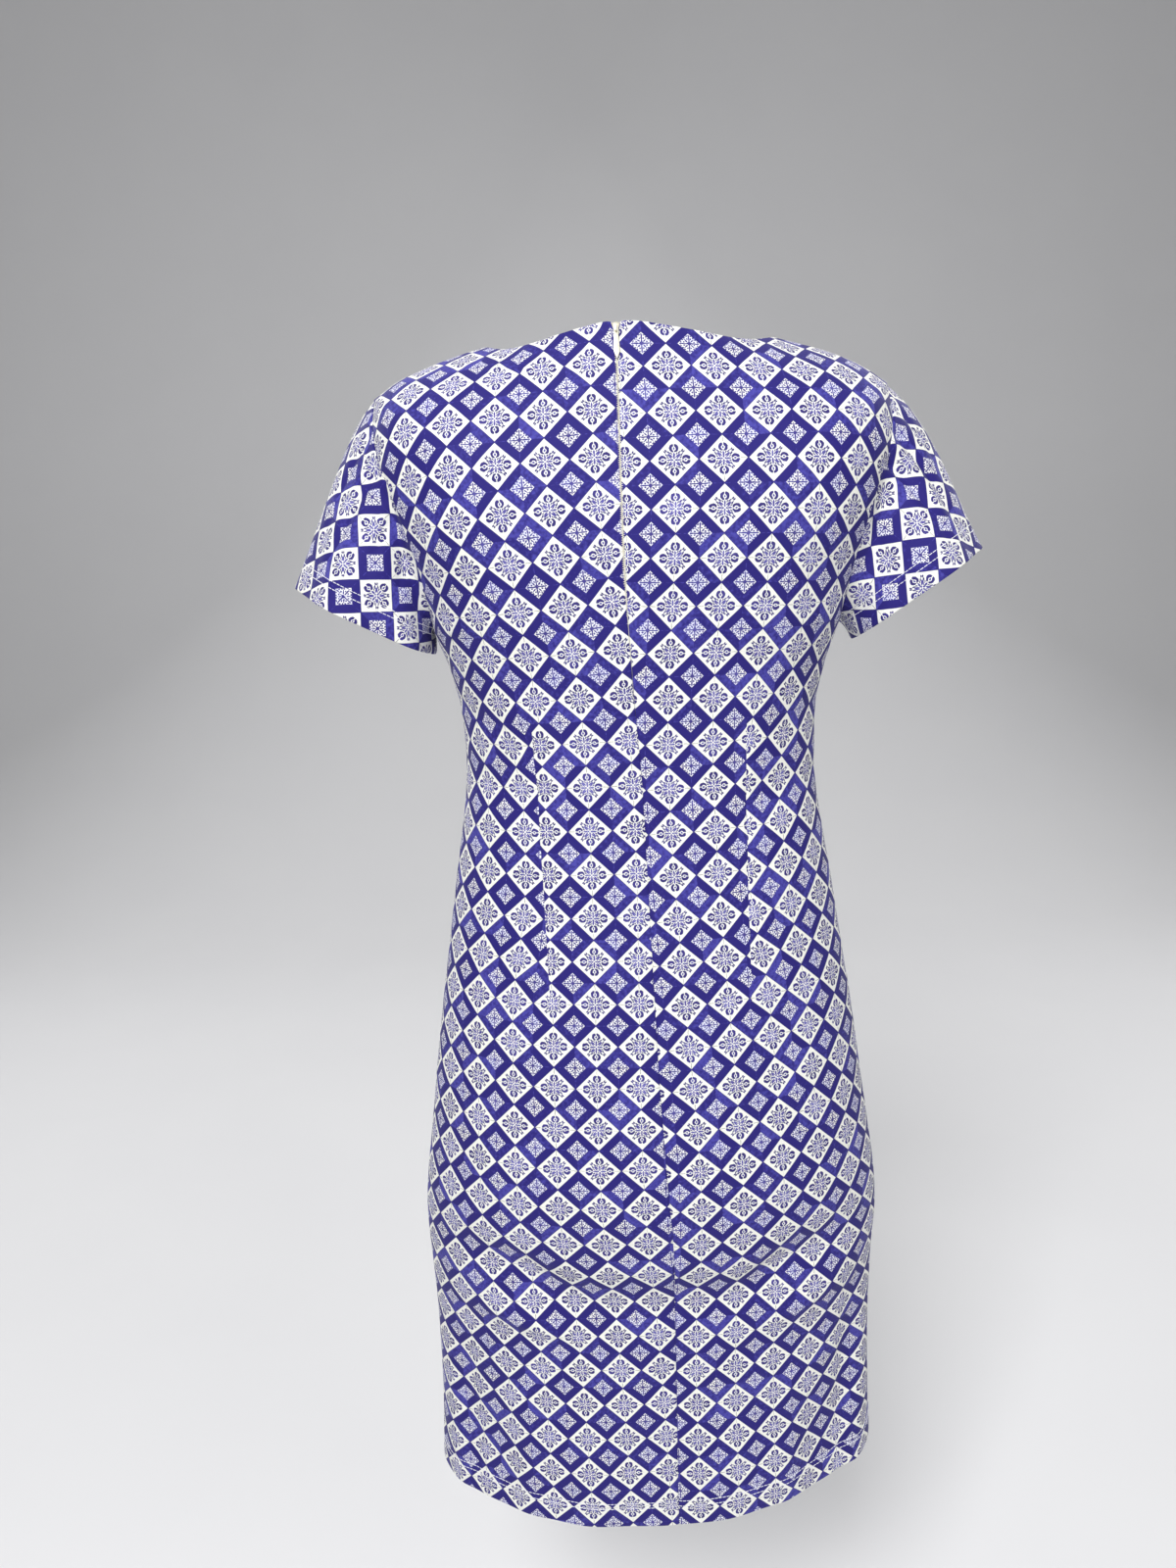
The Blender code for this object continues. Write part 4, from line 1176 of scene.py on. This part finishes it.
def leaf(x, y, centre_x, centre_y, radius_x, radius_y, lean=0.0):
    """A filled ellipse."""
    soft = EDGE_SOFT / min(radius_x, radius_y)
    away = radius_from(x, y, centre_x, centre_y, radius_x, radius_y, lean)
    return away.drop(1.0 - soft, 1.0 + soft)


def ring(x, y, radius, half_line):
    """The outline of a circle round the middle."""
    away = abs(radius_from(x, y, 0.0, 0.0, radius, radius) - 1.0)
    return away.drop((half_line - EDGE_SOFT) / radius, (half_line + EDGE_SOFT) / radius)


def stroke(across, half_line):
    """A line where a number is near zero."""
    return abs(across).drop(half_line - EDGE_SOFT, half_line + EDGE_SOFT)


def most_of(marks):
    total = marks[0]
    for mark in marks[1:]:
        total = total.most(mark)
    return total


def blended(tree, share, start, end):
    """A colour between two others, each a colour or a socket."""
    return add_node(tree, "Mix", {0: share, 6: start, 7: end}, data_type="RGBA").outputs[2]


def noise(tree, vector, scale, detail=2.0, stretch=(1.0, 1.0, 1.0)):
    node = add_node(tree, "TexNoise", {"Scale": scale, "Detail": detail})
    spread = add_node(tree, "Mapping", {"Scale": stretch, "Vector": vector})
    tree.links.new(spread.outputs["Vector"], node.inputs["Vector"])
    return Wire(node.outputs["Fac"])


def chance_of(tree, *wires):
    """A random number from 0 to 1 for each set of three whole numbers."""
    joined = add_node(tree, "CombineXYZ", enumerate(wires))
    node = add_node(tree, "TexWhiteNoise", {"Vector": joined.outputs["Vector"]})
    return Wire(node.outputs["Value"])


def white_tile_marks(a, b):
    """Ink of a white tile: bold buds to its corners, finer leaves, and the corner ticks."""
    toward = abs((a + b) * math.sqrt(0.5))
    aside = abs((b - a) * math.sqrt(0.5))
    x, y = toward.most(aside), toward.least(aside)
    s, t = (x + y) * math.sqrt(0.5), (x - y) * math.sqrt(0.5)
    hollow = leaf(x, y, *BUD_HOLLOW) * -1.0 + 1.0
    bold = [
        leaf(x, y, *BUD) * hollow * y.fade(0.004, 0.020),
        leaf(s, t, 0.362, 0.026, 0.044, 0.024, 8.0),
        leaf(s, t, 0.262, 0.050, 0.060, 0.022, -10.0),
        leaf(x, y, 0.186, 0.070, 0.040, 0.018, 30.0),
    ]
    fine = [
        leaf(x, y, *BUD_EYE),
        leaf(s, t, 0.164, 0.020, 0.088, 0.024, -5.0),
        leaf(x, y, 0.142, 0.0, 0.072, 0.028),
        leaf(x, y, 0.056, 0.0, 0.034, 0.026),
    ]
    tick = stroke(y, 0.010) * x.fade(0.480, 0.50) * x.drop(0.665, 0.685)
    return most_of(bold), most_of(fine), tick


def blue_tile_marks(a, b):
    """Ink of the light square in a blue tile: a cross, curls and small leaves."""
    p, q = abs(a), abs(b)
    near, far = p.least(q), p.most(q)
    return most_of([
        stroke(far - near, 0.030) * far.drop(0.215, 0.230),
        leaf(far, near, 0.148, 0.070, 0.030, 0.024, 30.0),
        leaf(far, near, 0.228, 0.040, 0.024, 0.030),
        leaf(far, near, 0.222, 0.134, 0.022, 0.036, 12.0),
        leaf(far, near, 0.120, 0.0, 0.052, 0.024),
        ring(far, near, 0.044, 0.016),
        leaf(far, near, 0.185, 0.0, 0.022, 0.016),
    ])


def print_colour(tree):
    """Colour of the printed tiles, from the cloth's own print coordinates."""
    vector = add_node(tree, "UVMap", uv_map="print").outputs["UV"]
    split = add_node(tree, "SeparateXYZ", {"Vector": vector})
    u, v = Wire(split.outputs["X"]), Wire(split.outputs["Y"])
    tile_u, tile_v = u.through("FLOOR"), v.through("FLOOR")
    a, b = u - tile_u - 0.5, v - tile_v - 0.5
    is_blue = ((tile_u + tile_v) * 0.5).through("FRACT") * 2.0
    chance = chance_of(tree, tile_u, tile_v, tile_u * 0.0)

    # Inks and paper, uneven as in a hand-painted glaze.
    speckle = noise(tree, vector, *SPECKLE)
    wash = noise(tree, vector, *WASH)
    shaky_a = a + (noise(tree, vector, *SHAKE_A) - 0.5) * HAND_SHAKE
    shaky_b = b + (noise(tree, vector, *SHAKE_B) - 0.5) * HAND_SHAKE
    pooled = (wash * 1.1 + speckle * 0.9 + chance * 0.4 - 0.8).fade(0.15, 0.85)
    dark_ink = blended(tree, pooled * 0.6, NAVY, VIOLET)
    light_ink = blended(tree, pooled, VIOLET, PERIWINKLE)
    paper = blended(tree, speckle.fade(0.40, 0.66), PAPER, PAPER_SHADE)

    # White tiles: fine leaves, bold buds, ticks at the corners, the frames' spill.
    bold, fine, tick = white_tile_marks(shaky_a, shaky_b)
    worn = speckle.fade(0.25, 0.45)
    white = blended(tree, fine * (worn * 0.20 + 0.80), paper,
                    blended(tree, 0.60, dark_ink, light_ink))
    white = blended(tree, bold * (worn * 0.12 + 0.88), white, dark_ink)
    white = blended(tree, tick * chance.fade(0.15, 0.65) * 0.8, white, GROUT)
    outward = abs(a).most(abs(b))
    white = blended(tree, outward.past(0.5 - FRAME_SPILL), white, DEEP_BLUE)

    # Blue tiles: each of the frame's four sides brushed by itself, round a light square.
    side = (a - b).through("GREATER_THAN", 0.0) + (a + b).through("GREATER_THAN", 0.0) * 2.0
    side_chance = chance_of(tree, tile_u, tile_v, side)
    brush = noise(tree, vector, *BRUSH)
    mitre = stroke(abs(a) - abs(b), 0.014)
    patch = (side_chance + brush * 1.3).fade(1.15, 1.85) * 0.8
    frame_blue = blended(tree, patch.most(mitre * brush.fade(0.45, 0.60) * 0.6), DEEP_BLUE,
                         BRUSHED_BLUE)
    scroll = blue_tile_marks(shaky_a, shaky_b)
    inner = blended(tree, wash.fade(0.3, 0.7), PAPER, INNER_SHADE)
    inner = blended(tree, scroll * (worn * 0.20 + 0.80), inner,
                    blended(tree, 0.25, dark_ink, light_ink))
    blue = blended(tree, outward.past(FRAME_INSIDE), inner, frame_blue)
    return vector, u, v, blended(tree, is_blue, white, blue)


def new_material(name, roughness, **sockets):
    """A Principled material and its tree; the keywords set sockets all over."""
    made = bpy.data.materials.new(name)
    made.use_nodes = True
    shader = made.node_tree.nodes["Principled BSDF"]
    shader.inputs["Roughness"].default_value = roughness
    for socket, value in sockets.items():
        shader.inputs[socket.replace("_", " ").title()].default_value = value
    return made, made.node_tree, shader


def bump(tree, shader, height, depth, strength):
    node = add_node(tree, "Bump", {"Distance": depth, "Strength": strength, "Height": height})
    tree.links.new(node.outputs["Normal"], shader.inputs["Normal"])


def cloth_material(name, show_through=1.0):
    """Printed plain-weave cotton; show_through below 1 is its paler reverse."""
    made, tree, shader = new_material(name, 0.72, sheen_weight=0.05, sheen_roughness=0.40)
    shader.inputs["Specular IOR Level"].default_value = 0.22
    vector, u, v, colour = print_colour(tree)
    if show_through < 1.0:
        colour = blended(tree, show_through, REVERSE, colour)
    tree.links.new(colour, shader.inputs["Base Color"])
    slub = noise(tree, vector, *SLUB)
    tree.links.new((slub * 0.12 + 0.66).socket, shader.inputs["Roughness"])
    warp = (u * (2.0 * math.pi * THREADS_PER_TILE)).through("SINE")
    weft = (v * (2.0 * math.pi * THREADS_PER_TILE)).through("SINE")
    bump(tree, shader, warp * weft * 0.25 + slub * 1.6, 0.00016, 0.45)
    return made


def object_noise(tree, scale, stretch=(1.0, 1.0, 1.0)):
    return noise(tree, add_node(tree, "TexCoord").outputs["Object"], scale, stretch=stretch)


def grained_material(name, roughness, scale, colours, relief=(), soften=None, dulled=False,
                     stretch=(1.0, 1.0, 1.0), **sockets):
    """A material in two colours, mixed by a fine grain that soften makes more distinct.

    relief gives the scale of its own noise, or 0 for the grain's, then depth and
    strength. The grain also makes a dulled surface less smooth.
    """
    made, tree, shader = new_material(name, roughness, **sockets)
    grain = object_noise(tree, scale, stretch)
    share = grain.fade(*soften) if soften else grain
    tree.links.new(blended(tree, share, *colours), shader.inputs["Base Color"])
    if dulled:
        tree.links.new((grain * 0.14 + 0.22).socket, shader.inputs["Roughness"])
    if relief:
        own_scale, depth, strength = relief
        bump(tree, shader, object_noise(tree, own_scale) if own_scale else grain, depth, strength)
    return made


# ---- studio
def make_camera():
    data = bpy.data.cameras.new("camera")
    data.sensor_fit = "VERTICAL"
    data.sensor_height = SENSOR_HEIGHT
    data.lens = SENSOR_HEIGHT * PHOTO_FOCAL / PHOTO_HEIGHT
    made = linked("camera", data)
    tilt = Matrix.Rotation(math.radians(90.0 - CAMERA_PITCH), 4, "X")
    roll = Matrix.Rotation(math.radians(CAMERA_ROLL), 4, "Z")
    made.matrix_world = Matrix.Translation(CAMERA_PLACE) @ tilt @ roll
    bpy.context.scene.camera = made


def make_stage():
    """A pale sweep: a floor that curves up into a wall behind the dress."""
    curve = arc(STAGE_BACK - SWEEP_RADIUS, FLOOR_Z + SWEEP_RADIUS, SWEEP_RADIUS, -90, 0, SWEEP_STEPS)
    profile = [(-STAGE_FRONT, FLOOR_Z), *curve, (STAGE_BACK, WALL_TOP)]
    verts = [(x, y, z) for y, z in profile for x in (-STAGE_HALF, STAGE_HALF)]
    faces = [(corner, corner + 1, corner + 3, corner + 2) for corner in range(0, len(verts) - 2, 2)]
    mesh_object("studio_sweep", verts, faces, "stage")


def make_lights():
    for name, place, size, energy in LIGHTS:
        data = bpy.data.lights.new(name, "AREA")
        data.shape = "SQUARE"
        data.size = size
        data.energy = energy
        made = linked(name, data)
        made.location = place
        aim = Vector(LIGHT_AIM) - Vector(place)
        made.rotation_euler = aim.to_track_quat("-Z", "Y").to_euler()
    world = bpy.data.worlds.new("studio")
    world.use_nodes = True
    background = world.node_tree.nodes["Background"]
    background.inputs["Color"].default_value = (*WORLD_COLOUR, 1.0)
    background.inputs["Strength"].default_value = WORLD_STRENGTH
    bpy.context.scene.world = world
    bpy.context.scene.view_settings.view_transform = "Standard"


# ---- the whole dress
make_camera()
MATERIALS = {
    "print": cloth_material("printed_cotton"),
    "reverse": cloth_material("printed_cotton_reverse", SHOW_THROUGH),
    "thread": grained_material("sewing_thread", 0.55, 900.0, THREADS, (4000.0, 0.00005, 0.5),
                               sheen_weight=0.3),
    "coil": grained_material("nylon_coil", 0.35, 600.0, CREAMS, coat_weight=0.2),
    "tape": grained_material("zip_tape", 0.8, 1500.0, TAPES, (0.0, 0.0001, 0.6), (0.35, 0.65),
                             stretch=(1.0, 1.0, 0.3), sheen_weight=0.25),
    "enamel": grained_material("cream_enamel", 0.28, 320.0, CREAMS, (1400.0, 0.00002, 0.4),
                               (0.4, 0.8), dulled=True, coat_weight=0.35),
    "stage": grained_material("studio_paper", 0.9, 3.0, STUDIO_GREYS),
}

made_pieces = {name: make_panel(name) for name in ("front", "back_left", "back_right")}
made_pieces.update((name, make_sleeve(name)) for name in SLEEVES)

for name, (cloth, lines, (width, length, area)) in made_pieces.items():
    runs = [run for line, way in lines for run in stitch_runs(line, way)]
    sewing = thread_pieces(name + "_hem_stitches", runs, THREAD_RADIUS, "thread")
    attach(cloth, "dress")
    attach(sewing, "dress")
    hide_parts(name)

back_seam = seam_line()
coil = make_coil(back_seam)
tapes = make_tapes(back_seam)
slider_body, slider_bridge, way_out = make_slider(back_seam)
pull = make_pull(back_seam, way_out)
for piece, node, body, slot in (
        (coil, "zip_chain", "dress", "zip_tape"),
        (tapes, "zip_chain", "dress", "zip_tape"),
        (slider_body, "zip_slider", "dress", "zip_enamel"),
        (slider_bridge, "zip_slider", "dress", "zip_enamel"),
        (pull, "zip_pull", "pull", "zip_enamel")):
    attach(piece, body)
    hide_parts(node)

make_stage()
make_lights()
